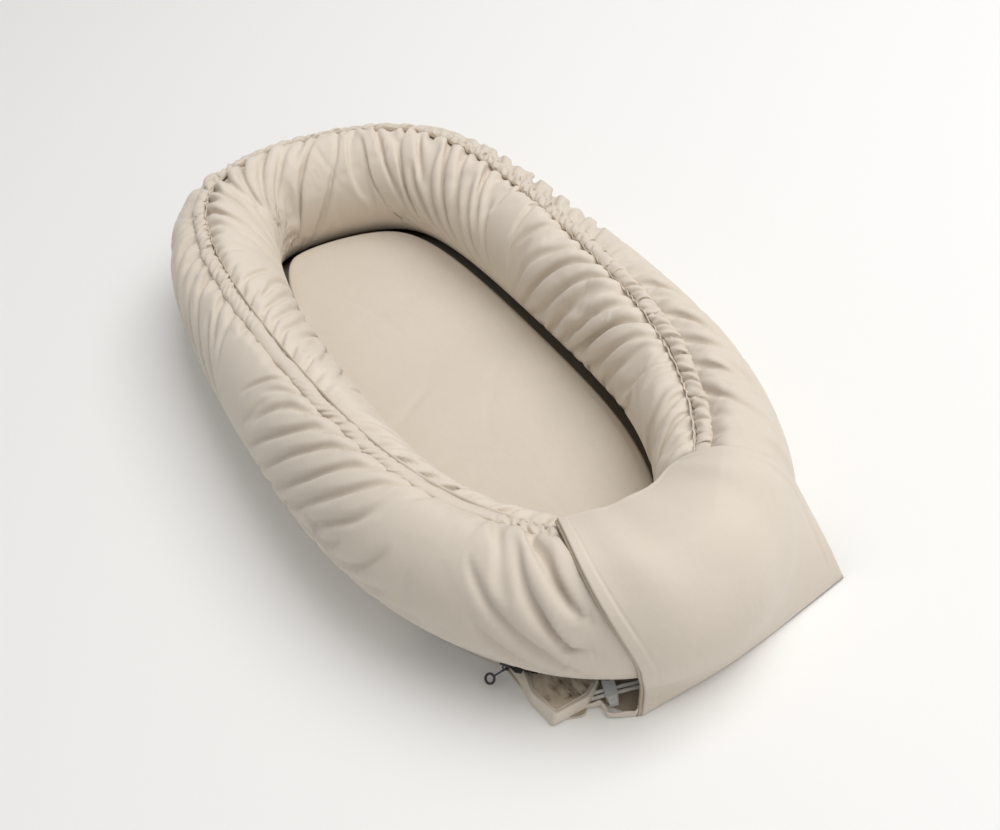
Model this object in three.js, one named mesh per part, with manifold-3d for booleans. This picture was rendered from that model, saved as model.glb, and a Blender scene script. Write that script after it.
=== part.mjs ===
// Infant lounger: a stuffed oval bolster in a gathered fabric cover, a flat mattress pad inside it,
// and a foot flap that comes from under the base and folds over the bolster.
// Millimetres, +Z up. The origin is on the underside of the base at the middle of the ring's plan.
// +Y points to the head end, the flap is at -Y, and +X is the side away from the open zip.
import * as THREE from 'three';
import { mergeVertices } from 'three/addons/utils/BufferGeometryUtils.js';
import Module from 'manifold-3d';

const wasm = await Module();
wasm.setup();

// Driving sizes of the ring, read as the centre line of the stuffed tube from above
const ringHalfWidth = 166;
const ringHalfLength = 386;
const ringCornersAcross = 14;
const ringCornersAlong = 4;
const ringHeadRoom = 3;
const ringFootDraw = 14;
// How far the soft ring lies off its own symmetry, as shares of its half width and half length
const leanAcrossShares = [0.024, 0.048];
const leanAlongShares = [0, -0.036, -0.026, -0.008];

// Driving sizes of the stuffed tube
const tubeHalfWidth = 54;
const tubeHalfHeight = 67;
const headSlimShare = 0.029;
const rightSlimShare = 0.051;

// Where the drawn ridge runs on the tube, in degrees from its top towards the outside
const ridgeTilt = 1.5;
const ridgeTiltAtHead = 25;
const ridgeTiltAtRight = 12;
const grooveDepth = 5;
const grooveSpread = 22;

// Cloth and clearances
const clothGap = 0.3;
const baseCloth = 1.2;
const liningCloth = 1;
const coverCloth = 1.2;
const casingCloth = 0.8;
const flapCloth = 1;

// Pattern of the gathers round the ring
const columnCount = 88;
const gatherHeight = 4.5;
const gatherSwing = 0.3;
const gatherBeat = 2.4;
const flatGather = 1.2;
const innerFlatGather = 2.2;

// Foot flap: reaches along the ring from the foot's middle, and the reaches of its fold on the
// floor from the middle of the tube there
const flapLeftLow = 52;
const flapLeftHigh = 119;
const flapRight = 95;
const flapFoldReach = 37.4;
const flapFoldLeftReach = 87.8;
const flapFoldRightReach = 138.2;

// Drawcord
const cordRadius = 1.75;

const fullTurn = 360;
const toRadians = Math.PI / 180;
const sinDeg = (angle) => Math.sin(angle * toRadians);
const cosDeg = (angle) => Math.cos(angle * toRadians);
const mix = (from, to, share) => from + (to - from) * share;
const clampShare = (share) => Math.min(1, Math.max(0, share));
const smooth = (share) => {
  const s = clampShare(share);
  return s * s * (3 - 2 * s);
};

// Heights of the layers, from the floor up
const liningBottom = baseCloth + clothGap;
const seatHeight = liningBottom + liningCloth + clothGap;
const platformTop = seatHeight + liningCloth;

// A point of the ring's centre line. The angle runs from the head by the right side to the foot.
function ringPlan(angle) {
  let x = (ringHalfWidth + ringCornersAcross) * sinDeg(angle) + ringCornersAcross * sinDeg(3 * angle);
  let y = (ringHalfLength - ringCornersAlong) * cosDeg(angle) + ringCornersAlong * cosDeg(3 * angle);
  y += ringHeadRoom * cosDeg(2 * angle) - ringFootDraw * cosDeg(4 * angle);
  leanAcrossShares.forEach((share, index) => {
    x += ringHalfWidth * share * cosDeg((index + 1) * angle);
  });
  leanAlongShares.forEach((share, index) => {
    y += ringHalfLength * share * sinDeg((index + 1) * angle);
  });
  return new THREE.Vector2(x, y);
}

// The middle of the ring's plan, which becomes the origin
const planStep = 0.5;
const planMiddle = (() => {
  const box = new THREE.Box2();
  for (let angle = 0; angle < fullTurn; angle += planStep) {
    box.expandByPoint(ringPlan(angle));
  }
  return box.getCenter(new THREE.Vector2());
})();

// Distances along the ring are counted from the foot's middle, by the left side to the head
const footAngle = 180;
const ringTable = (() => {
  const rows = [{ angle: footAngle, distance: 0 }];
  let last = ringPlan(footAngle);
  let distance = 0;
  for (let turn = planStep; turn <= fullTurn; turn += planStep) {
    const point = ringPlan(footAngle + turn);
    distance += point.distanceTo(last);
    rows.push({ angle: footAngle + turn, distance });
    last = point;
  }
  return rows;
})();
const ringLength = ringTable[ringTable.length - 1].distance;
const columnStep = ringLength / columnCount;

function ringAngle(distance) {
  const wrapped = ((distance % ringLength) + ringLength) % ringLength;
  let low = 0;
  let high = ringTable.length - 1;
  while (high - low > 1) {
    const middle = (low + high) >> 1;
    if (ringTable[middle].distance > wrapped) {
      high = middle;
    } else {
      low = middle;
    }
  }
  const span = ringTable[high].distance - ringTable[low].distance;
  return mix(ringTable[low].angle, ringTable[high].angle, (wrapped - ringTable[low].distance) / span);
}

// Distance from the foot's middle, negative on the right side
function signedDistance(distance) {
  const wrapped = ((distance % ringLength) + ringLength) % ringLength;
  return wrapped > ringLength / 2 ? wrapped - ringLength : wrapped;
}

// Everything that a cross-section of the tube needs, at one distance along the ring
const slopeStep = 0.25;
function station(distance) {
  const angle = ringAngle(distance);
  const centre = ringPlan(angle).sub(planMiddle);
  const along = ringPlan(angle + slopeStep).sub(ringPlan(angle - slopeStep)).normalize();
  const outward = new THREE.Vector2(-along.y, along.x);
  const size = 1 - headSlimShare * cosDeg(angle) - rightSlimShare * sinDeg(angle);
  return {
    distance: signedDistance(distance),
    centre,
    along,
    outward,
    halfWidth: tubeHalfWidth * size,
    halfHeight: tubeHalfHeight * size,
    ridge: ridgeTilt + ridgeTiltAtHead * cosDeg(angle) + ridgeTiltAtRight * sinDeg(angle),
  };
}

const footMiddle = station(0).centre;
const flapFoldY = footMiddle.y - flapFoldReach;
const flapFoldLeft = footMiddle.x - flapFoldLeftReach;
const flapFoldRight = footMiddle.x + flapFoldRightReach;

// A point near the tube's skin: angle from the top towards the outside, and how far off the skin
function skinPoint(place, angle, off) {
  const reach = (place.halfWidth + off) * sinDeg(angle);
  return new THREE.Vector3(
    place.centre.x + place.outward.x * reach,
    place.centre.y + place.outward.y * reach,
    seatHeight + place.halfHeight + (place.halfHeight + off) * cosDeg(angle),
  );
}

// Directions on the skin: across it away from the ridge, and straight out of it
function skinFrame(place, angle) {
  const level = new THREE.Vector3(place.outward.x, place.outward.y, 0);
  const acrossLevel = place.halfWidth * cosDeg(angle);
  const acrossDrop = -place.halfHeight * sinDeg(angle);
  const across = level.clone().multiplyScalar(acrossLevel);
  across.z = acrossDrop;
  across.normalize();
  const out = level.clone().multiplyScalar(-acrossDrop);
  out.z = acrossLevel;
  out.normalize();
  return { across, out };
}

// How deep the drawn ridge sinks into the stuffing
function grooveAt(fromRidge) {
  return -grooveDepth * Math.exp(-((fromRidge / grooveSpread) ** 2));
}

// Closes rings of points into one solid. Rings run along, their points run round.
// Ends are left to meet each other, fanned from their middle, or paired like two sheets.
// Where both faces belong to one cloth, they are split along the same diagonals.
function loftSolid(rings, ends, twoFaced = false) {
  const around = rings[0].length;
  const points = rings.flat();
  const faces = [];
  const ringPairs = ends === 'joined' ? rings.length : rings.length - 1;
  for (let i = 0; i < ringPairs; i += 1) {
    const next = (i + 1) % rings.length;
    for (let j = 0; j < around; j += 1) {
      const side = (j + 1) % around;
      const a = i * around + j;
      const b = i * around + side;
      const c = next * around + side;
      const d = next * around + j;
      if (twoFaced && j >= around / 2) {
        faces.push([a, b, d], [b, c, d]);
      } else {
        faces.push([a, b, c], [a, c, d]);
      }
    }
  }
  const lastRing = (rings.length - 1) * around;
  if (ends === 'fan') {
    [0, lastRing].forEach((start, end) => {
      const middle = new THREE.Vector3();
      rings[start / around].forEach((point) => middle.addScaledVector(point, 1 / around));
      points.push(middle);
      for (let j = 0; j < around; j += 1) {
        const pair = [start + j, start + ((j + 1) % around)];
        faces.push(end === 0 ? [pair[1], pair[0], points.length - 1] : [...pair, points.length - 1]);
      }
    });
  }
  if (ends === 'sheet') {
    [0, lastRing].forEach((start, end) => {
      for (let j = 0; j < around / 2 - 1; j += 1) {
        const quad = [start + j, start + j + 1, start + around - 2 - j, start + around - 1 - j];
        const turned = end === 0 ? quad.reverse() : quad;
        faces.push([turned[0], turned[1], turned[2]], [turned[0], turned[2], turned[3]]);
      }
    });
  }
  return closedGeometry(points, faces);
}

// Builds the geometry and turns it right side out
function closedGeometry(points, faces) {
  let volume = 0;
  faces.forEach(([a, b, c]) => {
    volume += points[a].dot(new THREE.Vector3().crossVectors(points[b], points[c]));
  });
  const index = faces.flatMap(([a, b, c]) => (volume > 0 ? [a, b, c] : [a, c, b]));
  const geometry = new THREE.BufferGeometry();
  const places = points.flatMap((point) => point.toArray());
  geometry.setAttribute('position', new THREE.Float32BufferAttribute(places, 3));
  geometry.setIndex(index);
  return geometry;
}

// Two faces of one cloth, given as rows of points, become a closed sheet
function sheetSolid(outerRows, innerRows, ends) {
  return loftSolid(outerRows.map((row, index) => [...row, ...[...innerRows[index]].reverse()]), ends, true);
}

// A round section swept along points, with its own radius at each point
function cordSolid(points, radii, sides) {
  const rings = [];
  let side = new THREE.Vector3(0, 0, 1);
  points.forEach((point, index) => {
    const before = points[Math.max(0, index - 1)];
    const after = points[Math.min(points.length - 1, index + 1)];
    const forward = new THREE.Vector3().subVectors(after, before).normalize();
    side = side.clone().addScaledVector(forward, -side.dot(forward)).normalize();
    const third = new THREE.Vector3().crossVectors(forward, side);
    const ring = [];
    for (let k = 0; k < sides; k += 1) {
      const turn = (fullTurn * k) / sides;
      ring.push(
        point.clone()
          .addScaledVector(side, radii[index] * cosDeg(turn))
          .addScaledVector(third, radii[index] * sinDeg(turn)),
      );
    }
    rings.push(ring);
  });
  return loftSolid(rings, 'fan');
}

// Joins and cuts of closed geometries
const weldDistance = 1e-4;

function toManifold(geometry) {
  const plain = geometry.clone();
  plain.deleteAttribute('normal');
  plain.deleteAttribute('uv');
  const merged = mergeVertices(plain, weldDistance);
  return new wasm.Manifold(new wasm.Mesh({
    numProp: 3,
    vertProperties: new Float32Array(merged.attributes.position.array),
    triVerts: new Uint32Array(merged.index.array),
  }));
}

function fromManifold(solid) {
  const mesh = solid.getMesh();
  const geometry = new THREE.BufferGeometry();
  geometry.setAttribute('position', new THREE.BufferAttribute(new Float32Array(mesh.vertProperties), 3));
  geometry.setIndex(new THREE.BufferAttribute(new Uint32Array(mesh.triVerts), 1));
  return geometry;
}

function joined(...geometries) {
  return fromManifold(geometries.map(toManifold).reduce((sum, solid) => sum.add(solid)));
}

function cut(geometry, ...tools) {
  const whole = toManifold(geometry);
  return fromManifold(tools.map(toManifold).reduce((rest, tool) => rest.subtract(tool), whole));
}

function block(width, length, height, x, y, z) {
  return new THREE.BoxGeometry(width, length, height).translate(x, y, z);
}

// Every piece is one named mesh with its own finish
const lounger = new THREE.Group();
const cottonColour = 0xd3c7b4;
const cottonShade = 0xc9bca8;
const liningColour = 0xcdbfa6;
const blackColour = 0x1a1a1c;
const metalColour = 0x26262a;
const whiteColour = 0xeceae4;
const cottonRoughness = 0.85;

function addPiece(name, geometry, colour, roughness = cottonRoughness, metalness = 0, parent = lounger) {
  const material = new THREE.MeshStandardMaterial({ color: colour, roughness, metalness });
  const mesh = new THREE.Mesh(geometry, material);
  mesh.name = name;
  parent.add(mesh);
  return mesh;
}

// The seam that the cover's lower edge follows, and the band and turn under it, in section degrees
const coverEdgeAngle = 129;
const bandTopAngle = 130.5;
const bandZipAngle = 144;
const bandFootAngle = 160;
const innerFootAngle = 205;

// Drawstring casing: a flat channel that lies in the groove between the two panels
const casingHalfWidth = 8.5;
const casingUp = 3.2;
const casingDown = 3;
const casingRuffle = 1.1;
const casingSeam = 0.8;
const casingLeftEnd = 85;
const casingRightEnd = 70;
const casingGap = 0.5;
const cordInCasing = casingDown + casingGap - grooveDepth;
const smallestHalfWidth = tubeHalfWidth * (1 - headSlimShare - rightSlimShare);
const panelReach = casingHalfWidth + casingSeam;
const panelAngle = Math.asin(panelReach / (smallestHalfWidth - grooveDepth)) / toRadians;
const closedPanelAngle = 0.6;
const closingReach = 64;

// The panels part for the casing and close up where it ends under the flap
function panelEdgeAt(place) {
  const pastLeft = (place.distance - casingLeftEnd) / closingReach + 1;
  const pastRight = (-place.distance - casingRightEnd) / closingReach + 1;
  return mix(closedPanelAngle, panelAngle, smooth(Math.max(pastLeft, pastRight)));
}

// Angles of the skin's rows at one station, first outside the ridge and then inside it
const outerRowShares = [0, 0.15, 0.4, 0.69, 1];
const innerRowShares = [0, 0.13, 0.36, 0.66, 1];

function outerAngles(place) {
  const start = place.ridge + panelEdgeAt(place);
  return outerRowShares.map((share) => mix(start, coverEdgeAngle, share));
}

function innerAngles(place) {
  const start = place.ridge - panelEdgeAt(place);
  return innerRowShares.map((share) => mix(start, innerFootAngle - fullTurn, share));
}

// Bolster insert: the stuffed tube, bent round until its two ends meet under the flap
const insertEndShares = [0.55, 0.9];
const insertEndTaper = 14;
const insertEndGap = 6;
const insertColumns = 2;
const undersideAngle = 180;

function insertRing(place, share) {
  const angles = [
    place.ridge,
    ...outerAngles(place),
    bandZipAngle,
    bandFootAngle,
    undersideAngle,
    ...innerAngles(place).reverse(),
  ];
  const ring = angles.map((angle) => skinPoint(place, angle, grooveAt(angle - place.ridge)));
  if (share === 1) {
    return ring;
  }
  const middle = skinPoint(place, 0, -place.halfHeight);
  return ring.map((point) => point.clone().lerp(middle, 1 - share));
}

function makeInsert() {
  const rings = [];
  const first = insertEndGap / 2;
  insertEndShares.forEach((share, index) => {
    rings.push(insertRing(station(first + (insertEndTaper * index) / insertEndShares.length), share));
  });
  for (let column = insertColumns; column < columnCount; column += insertColumns) {
    rings.push(insertRing(station(column * columnStep), 1));
  }
  [...insertEndShares].reverse().forEach((share, index) => {
    const back = insertEndTaper * (1 - (index + 1) / insertEndShares.length);
    rings.push(insertRing(station(ringLength - first - back), share));
  });
  return loftSolid(rings, 'fan');
}

// Gathered cover panels: every second column of the cloth stands up in a fold
const outerGatherShares = [0.35, 1, 0.75, 0.4, 0.1];
const innerGatherShares = [0.35, 1, 0.95, 0.7, 0.3];
const flapRelease = 40;
const panelGap = 0.6;

function foldHeight(column, place, share, least) {
  if (column % 2 === 0) {
    return 0;
  }
  const swing = 1 + gatherSwing * Math.sin(gatherBeat * column);
  const pastLeft = (place.distance - flapLeftHigh) / flapRelease + 1;
  const pastRight = (-place.distance - flapRight) / flapRelease + 1;
  const full = smooth(Math.max(pastLeft, pastRight));
  return least + full * Math.max(0, gatherHeight * swing * share - least);
}

function makePanel(angleRows, gatherShares, least) {
  const outerRows = [];
  const innerRows = [];
  for (let column = 0; column < columnCount; column += 1) {
    const place = station(column * columnStep);
    const angles = angleRows(place);
    const inner = angles.map((angle, row) => {
      return panelGap + grooveAt(angle - place.ridge) + foldHeight(column, place, gatherShares[row], least);
    });
    innerRows.push(angles.map((angle, row) => skinPoint(place, angle, inner[row])));
    outerRows.push(angles.map((angle, row) => skinPoint(place, angle, inner[row] + coverCloth)));
  }
  return sheetSolid(outerRows, innerRows, 'joined');
}

// Casing: outer and inner skins of a flat ruffled channel, open at both ends
const casingFirstColumn = Math.ceil(casingLeftEnd / columnStep);
const casingLastColumn = Math.floor((ringLength - casingRightEnd) / columnStep);

function casingRing(column, wall, ruffle) {
  const place = station(column * columnStep);
  const middle = skinPoint(place, place.ridge, cordInCasing);
  const { across, out } = skinFrame(place, place.ridge);
  const lift = column % 2 === 0 ? 0 : ruffle;
  const profile = [
    [2 * wall - casingHalfWidth, 0],
    [0, casingUp - wall + lift],
    [casingHalfWidth - 2 * wall, 0],
    [0, wall - casingDown],
  ];
  return profile.map(([side, up]) => middle.clone().addScaledVector(across, side).addScaledVector(out, up));
}

function makeCasing() {
  const outerRings = [];
  const innerRings = [];
  for (let column = casingFirstColumn; column <= casingLastColumn; column += 1) {
    outerRings.push(casingRing(column, 0, casingRuffle));
    innerRings.push(casingRing(column, casingCloth, 0));
  }
  return loftSolid([...outerRings, ...innerRings.reverse()], 'joined');
}

// Cord lock: a sprung barrel on the two cord ends, turned to lie along the foot's outline
const lockDistance = 74.5;
const lockReach = 43.7;
const lockSwing = 17.8;
const lockWidth = 11;
const lockLength = 20;
const lockHeight = 9;
const lockWall = 1;
const lockRound = 1.5;
const lockLift = 0.3;
const cordSpacing = 5;
const lockCordFromMouth = 8.2;
const cordHoleGap = 0.4;
const buttonProud = 5;
const buttonTravel = 2.5;
const buttonGap = 0.3;
const buttonWall = 1.1;
const springWire = 0.25;
const springTurns = 2;
const springRadius = 2.1;
const springSides = 5;
const springSteps = 8;
const lockMiddle = liningBottom + liningCloth + lockLift + lockHeight / 2;
const lockStation = station(lockDistance);
const lockPlace = lockStation.centre.clone().addScaledVector(lockStation.outward, lockReach);
const lockTurn = Math.atan2(-lockStation.along.y, -lockStation.along.x) / toRadians + lockSwing;

// In the lock's own frame X runs along the cords, Y to the closed end, and the cords cross at Y = 0
const lockMouth = -lockCordFromMouth;
const lockBack = lockMouth + lockLength;
const cavityWidth = lockWidth - 2 * lockWall;
const cavityHeight = lockHeight - 2 * lockWall;
const cordHoleHalf = cordSpacing / 2 + cordRadius + cordHoleGap;
const cordHoleHeight = 2 * (cordRadius + cordHoleGap);
const cutOverrun = 2;

const roundSteps = 3;

function roundedBlock(width, length, height, round) {
  const halfWidth = width / 2 - round;
  const halfLength = length / 2 - round;
  const quarter = Math.PI / 2;
  const outline = new THREE.Shape();
  [[1, 1], [-1, 1], [-1, -1], [1, -1]].forEach(([acrossSign, alongSign], corner) => {
    const start = corner * quarter;
    outline.absarc(acrossSign * halfWidth, alongSign * halfLength, round, start, start + quarter, false);
  });
  const settings = { depth: height, bevelEnabled: false, curveSegments: roundSteps };
  return new THREE.ExtrudeGeometry(outline, settings).translate(0, 0, -height / 2);
}

function makeLockBody() {
  const shell = roundedBlock(lockWidth, lockLength, lockHeight, lockRound);
  shell.translate(0, lockMouth + lockLength / 2, 0);
  const cavityLength = lockLength - lockWall + cutOverrun;
  const cavityY = lockBack - lockWall - cavityLength / 2;
  const cavity = block(cavityWidth, cavityLength, cavityHeight, 0, cavityY, 0);
  const holeWidth = lockWidth + 2 * cutOverrun;
  const hole = block(holeWidth, 2 * cordHoleHalf, cordHoleHeight, 0, 0, 0);
  return cut(shell, cavity, hole);
}

function makeLockButton() {
  const width = cavityWidth - 2 * buttonGap;
  const height = cavityHeight - 2 * buttonGap;
  const front = lockMouth - buttonProud;
  const back = cordHoleHalf + buttonWall;
  const body = roundedBlock(width, back - front, height, lockWall);
  body.translate(0, (front + back) / 2, 0);
  const holeLength = 2 * cordHoleHalf + buttonTravel;
  const hole = block(width + 2 * cutOverrun, holeLength, cordHoleHeight, 0, -buttonTravel / 2, 0);
  return cut(body, hole);
}

function makeLockSpring() {
  const from = cordHoleHalf + buttonWall + buttonTravel + springWire + buttonGap;
  const to = lockBack - lockWall - springWire - buttonGap;
  const points = [];
  const steps = springTurns * springSteps;
  for (let k = 0; k <= steps; k += 1) {
    const turn = (fullTurn * k) / springSteps;
    const place = new THREE.Vector3(
      springRadius * cosDeg(turn),
      mix(from, to, k / steps),
      springRadius * sinDeg(turn),
    );
    points.push(place);
  }
  return cordSolid(points, points.map(() => springWire), springSides);
}

// Drawcord: out of the casing's ends, down under the flap, and side by side through the lock
const straightPastLock = 36;
const tailLengths = [20, 28];
const tailDrop = 1.7;
const knotRadius = 2.8;
const knotLengthShares = [0.4, 1, 0.4];
const cordSides = 6;
const runSteps = 24;

// Under the flap: shares of the way back to the foot's middle, against the section angles.
// On the base: shares of the same way, and reaches from the tube's centre line
const cordUnderFlap = 5.1;
const cordRunAngles = [-21, -9, 13, 41, 70, 100, 122];
const leftRunShares = [0.91, 0.78, 0.64, 0.52, 0.43, 0.37, 0.34];
const rightRunShares = [0.89, 0.71, 0.54, 0.4, 0.29, 0.2, 0.14];
const cordDropAngle = 142;
const leftDropShare = 0.29;
const rightDropShare = 0.12;
const cordDropOff = 5.6;
const cordLieGap = 1.1;
const cordLie = liningBottom + liningCloth + cordLieGap + cordRadius;
const leftFloorShares = [0.1, 0.36];
const rightFloorShares = [0, -0.36, -0.62];
const leftFloorReach = 29;
const rightFloorReach = 24;

function cordFloorPoint(distance, reach) {
  const { centre, outward } = station(distance);
  return new THREE.Vector3(centre.x + outward.x * reach, centre.y + outward.y * reach, cordLie);
}

function lockPoint(along, side, up) {
  return new THREE.Vector3(
    lockPlace.x + along * cosDeg(lockTurn) - side * sinDeg(lockTurn),
    lockPlace.y + along * sinDeg(lockTurn) + side * cosDeg(lockTurn),
    lockMiddle + up,
  );
}

// One end of the cord, from the casing to its knot; the distance is that of the casing's end
function cordEnd(distance, runShares, dropShare, floor, side, tail) {
  const points = runShares.map((share, index) => {
    return skinPoint(station(distance * share), cordRunAngles[index], cordUnderFlap);
  });
  points.push(skinPoint(station(distance * dropShare), cordDropAngle, cordDropOff));
  floor.shares.forEach((share) => points.push(cordFloorPoint(distance * share, floor.reach)));
  [straightPastLock, straightPastLock / 2, 0, -lockWidth].forEach((along) => {
    points.push(lockPoint(along, side, 0));
  });
  points.push(lockPoint(-tail, side, -tailDrop));
  return points;
}

function makeDrawcord() {
  const casingPoints = [];
  for (let column = casingFirstColumn; column <= casingLastColumn; column += 1) {
    const place = station(column * columnStep);
    casingPoints.push(skinPoint(place, place.ridge, cordInCasing));
  }
  const smoothRun = (points) => {
    return new THREE.CatmullRomCurve3(points, false, 'centripetal').getPoints(runSteps);
  };
  const halfSpacing = cordSpacing / 2;
  const [leftTail, rightTail] = tailLengths;
  const leftFloor = { shares: leftFloorShares, reach: leftFloorReach };
  const rightFloor = { shares: rightFloorShares, reach: rightFloorReach };
  const leftPoints = cordEnd(casingLeftEnd, leftRunShares, leftDropShare, leftFloor, -halfSpacing, leftTail);
  leftPoints.reverse();
  const rightEnd = -casingRightEnd;
  const rightPoints = cordEnd(
    rightEnd, rightRunShares, rightDropShare, rightFloor, halfSpacing, rightTail,
  );
  const left = smoothRun([...leftPoints, casingPoints[0]]);
  const right = smoothRun([casingPoints[casingPoints.length - 1], ...rightPoints]);
  const route = [...left, ...casingPoints.slice(1, -1), ...right];
  const knotAt = (end, towards) => {
    const step = new THREE.Vector3().subVectors(end, towards).setZ(0).normalize();
    return knotLengthShares.map((share, index) => {
      const point = end.clone().addScaledVector(step, knotRadius * (index + 1));
      return { point, radius: knotRadius * share };
    });
  };
  const first = knotAt(route[0], route[1]).reverse();
  const last = knotAt(route[route.length - 1], route[route.length - 2]);
  const points = [...first.map((k) => k.point), ...route, ...last.map((k) => k.point)];
  const radiusOf = (knot) => knot.radius;
  const radii = [...first.map(radiusOf), ...route.map(() => cordRadius), ...last.map(radiusOf)];
  return cordSolid(points, radii, cordSides);
}

// Base: the bottom panel and its lining reach from under the tube to the flap's fold line,
// with a loose corner at the open zip
const baseReach = 36;
const baseLooseDistance = 113.5;
const baseLooseReach = 76;
const baseLeftEnd = 165;
const baseRightEnd = 125;
const liningInset = 1.3;
const foldGap = 0.7;
const foldDrawLeft = 2.4;
const foldDrawRight = 4.5;
const foldBendLeft = 36;
const foldBendRight = 70;
const platformInset = 16.5;
const rimStep = 2 * columnStep;

function offsetOutline(reach, from, to, step) {
  const points = [];
  for (let distance = from; distance <= to; distance += step) {
    const place = station(distance);
    points.push(place.centre.clone().addScaledVector(place.outward, reach));
  }
  return points;
}

function flatPanel(points, bottom, thickness) {
  const settings = { depth: thickness, bevelEnabled: false };
  return new THREE.ExtrudeGeometry(new THREE.Shape(points), settings).translate(0, 0, bottom);
}

function makeBasePanel(bottom, thickness, inset) {
  const from = baseLeftEnd;
  const to = ringLength - baseRightEnd;
  const rim = offsetOutline(baseReach - inset, from, to, rimStep);
  const front = flapFoldY + foldGap + inset;
  const loose = station(baseLooseDistance);
  const corners = [
    new THREE.Vector2(flapFoldRight - inset, front + foldDrawRight),
    new THREE.Vector2(flapFoldRight - foldBendRight, front),
    new THREE.Vector2(flapFoldLeft + foldBendLeft, front),
    new THREE.Vector2(flapFoldLeft, front + foldDrawLeft),
    loose.centre.clone().addScaledVector(loose.outward, baseLooseReach - inset),
  ];
  return flatPanel([...rim, ...corners], bottom, thickness);
}

function makePlatform() {
  const rim = offsetOutline(-platformInset, 0, ringLength - columnStep, rimStep);
  return flatPanel(rim, seatHeight, liningCloth);
}

// Band of base cloth that turns up to the cover's lower edge, except along the open zip and the flap
const bandOff = 0.7;
const bandCloth = 0.9;
const bandRightEnd = 100;

// Zip: a straight closed stretch at the left of the foot, then two loose open sides.
// Places on it are counted from its closed end, and its line touches the skin half way
const zipAngle = 135.5;
const zipFrom = 240;
const zipTo = 148;
const zipOff = 1.3;
const zipStandoff = 3.1;
const zipEnd = 168;
const toothPitch = 3;
const chainHalf = 2.6;
const toothThickness = 1.6;
const tapeGap = 0.3;
const coverTape = 2.7;
const baseTape = 5.1;
const tapeThickness = 0.8;
const zipStripStep = 6;

const zipHead = skinPoint(station(zipFrom), zipAngle, zipOff + zipStandoff);
const zipMouth = skinPoint(station(zipTo), zipAngle, zipOff + zipStandoff);
const zipClosed = zipHead.distanceTo(zipMouth);
const zipAlong = new THREE.Vector3().subVectors(zipMouth, zipHead).normalize();
const zipFrameMiddle = skinFrame(station((zipFrom + zipTo) / 2), zipAngle);
const zipOut = zipFrameMiddle.out.clone();
zipOut.addScaledVector(zipAlong, -zipOut.dot(zipAlong)).normalize();
const zipDown = new THREE.Vector3().crossVectors(zipOut, zipAlong).normalize();
if (zipDown.z > 0) {
  zipDown.negate();
}

// The open sides end at one distance from the foot's middle. The base side draws in from its first
// reach and height off the tube's centre line to its last ones, and turns flat on the way
const openEnd = 74;
const coverSettleShare = 0.5;
const coverTurnShare = 0.33;
const baseFirstReach = 39;
const baseLastReach = 26;
const baseFirstHeight = 11.5;
const baseLastHeight = 3.9;
const openSpanShares = [0.19, 0.38, 0.6, 0.81, 1];
const reachDrawShares = [0, 0.385, 0.77, 0.923, 1];
const heightDropShares = [0, 0.776, 0.987, 1, 1];
const flatTurnShares = [0.35, 0.8, 1, 1, 1];

// Frame on the zip for one side: a point, the direction to the base and the direction out
function zipFrame(place, side) {
  if (place <= zipClosed) {
    return { point: zipHead.clone().addScaledVector(zipAlong, place), down: zipDown, out: zipOut };
  }
  const share = (place - zipClosed) / (zipEnd - zipClosed);
  return side === 'cover' ? coverSideFrame(share) : baseSideFrame(share);
}

function coverSideFrame(share) {
  const there = station(mix(zipTo, openEnd, share));
  const off = zipOff + zipStandoff * (1 - smooth(share / coverSettleShare));
  const frame = skinFrame(there, zipAngle);
  const blend = smooth(share / coverTurnShare);
  const down = zipDown.clone().lerp(frame.across, blend).normalize();
  const out = zipOut.clone().lerp(frame.out, blend).normalize();
  return { point: skinPoint(there, zipAngle, off), down, out };
}

// One of the places that the base side of the open zip passes through
function baseSidePlace(index) {
  const there = station(mix(zipTo, openEnd, openSpanShares[index]));
  const reach = mix(baseFirstReach, baseLastReach, reachDrawShares[index]);
  const height = mix(baseFirstHeight, baseLastHeight, heightDropShares[index]);
  const level = there.centre.clone().addScaledVector(there.outward, reach);
  const inward = new THREE.Vector3(-there.outward.x, -there.outward.y, 0);
  return { point: new THREE.Vector3(level.x, level.y, height), inward, flat: flatTurnShares[index] };
}

function baseSideFrame(share) {
  const place = clampShare(share) * openSpanShares.length;
  const index = Math.min(openSpanShares.length - 1, Math.floor(place));
  const rest = place - index;
  const atMouth = { point: zipMouth, inward: baseSidePlace(0).inward, flat: 0 };
  const from = index === 0 ? atMouth : baseSidePlace(index - 1);
  const to = baseSidePlace(index);
  const flat = mix(from.flat, to.flat, rest);
  const inward = from.inward.clone().lerp(to.inward, rest);
  const down = zipDown.clone().lerp(inward, flat).normalize();
  const out = zipOut.clone().lerp(new THREE.Vector3(0, 0, -1), flat).normalize();
  return { point: from.point.clone().lerp(to.point, rest), down, out };
}

function onZip(place, across, height, side) {
  const { point, down, out } = zipFrame(place, side);
  return point.clone().addScaledVector(down, across).addScaledVector(out, height);
}

function makeTape(side, from, to) {
  const rings = [];
  const half = tapeThickness / 2;
  const count = Math.round(zipEnd / zipStripStep);
  for (let k = 0; k <= count; k += 1) {
    const place = (zipEnd * k) / count;
    rings.push([
      onZip(place, from, half, side),
      onZip(place, to, half, side),
      onZip(place, to, -half, side),
      onZip(place, from, -half, side),
    ]);
  }
  return loftSolid(rings, 'fan');
}

// One row of teeth: both rows follow the same zigzag, so each tooth sits in the other row's gap
const teethGap = 0.6;
const toothReach = 1.3;
const stopLength = 3;
const stopThickness = 2.2;
const teethEnd = zipEnd - stopLength - clothGap;

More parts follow.
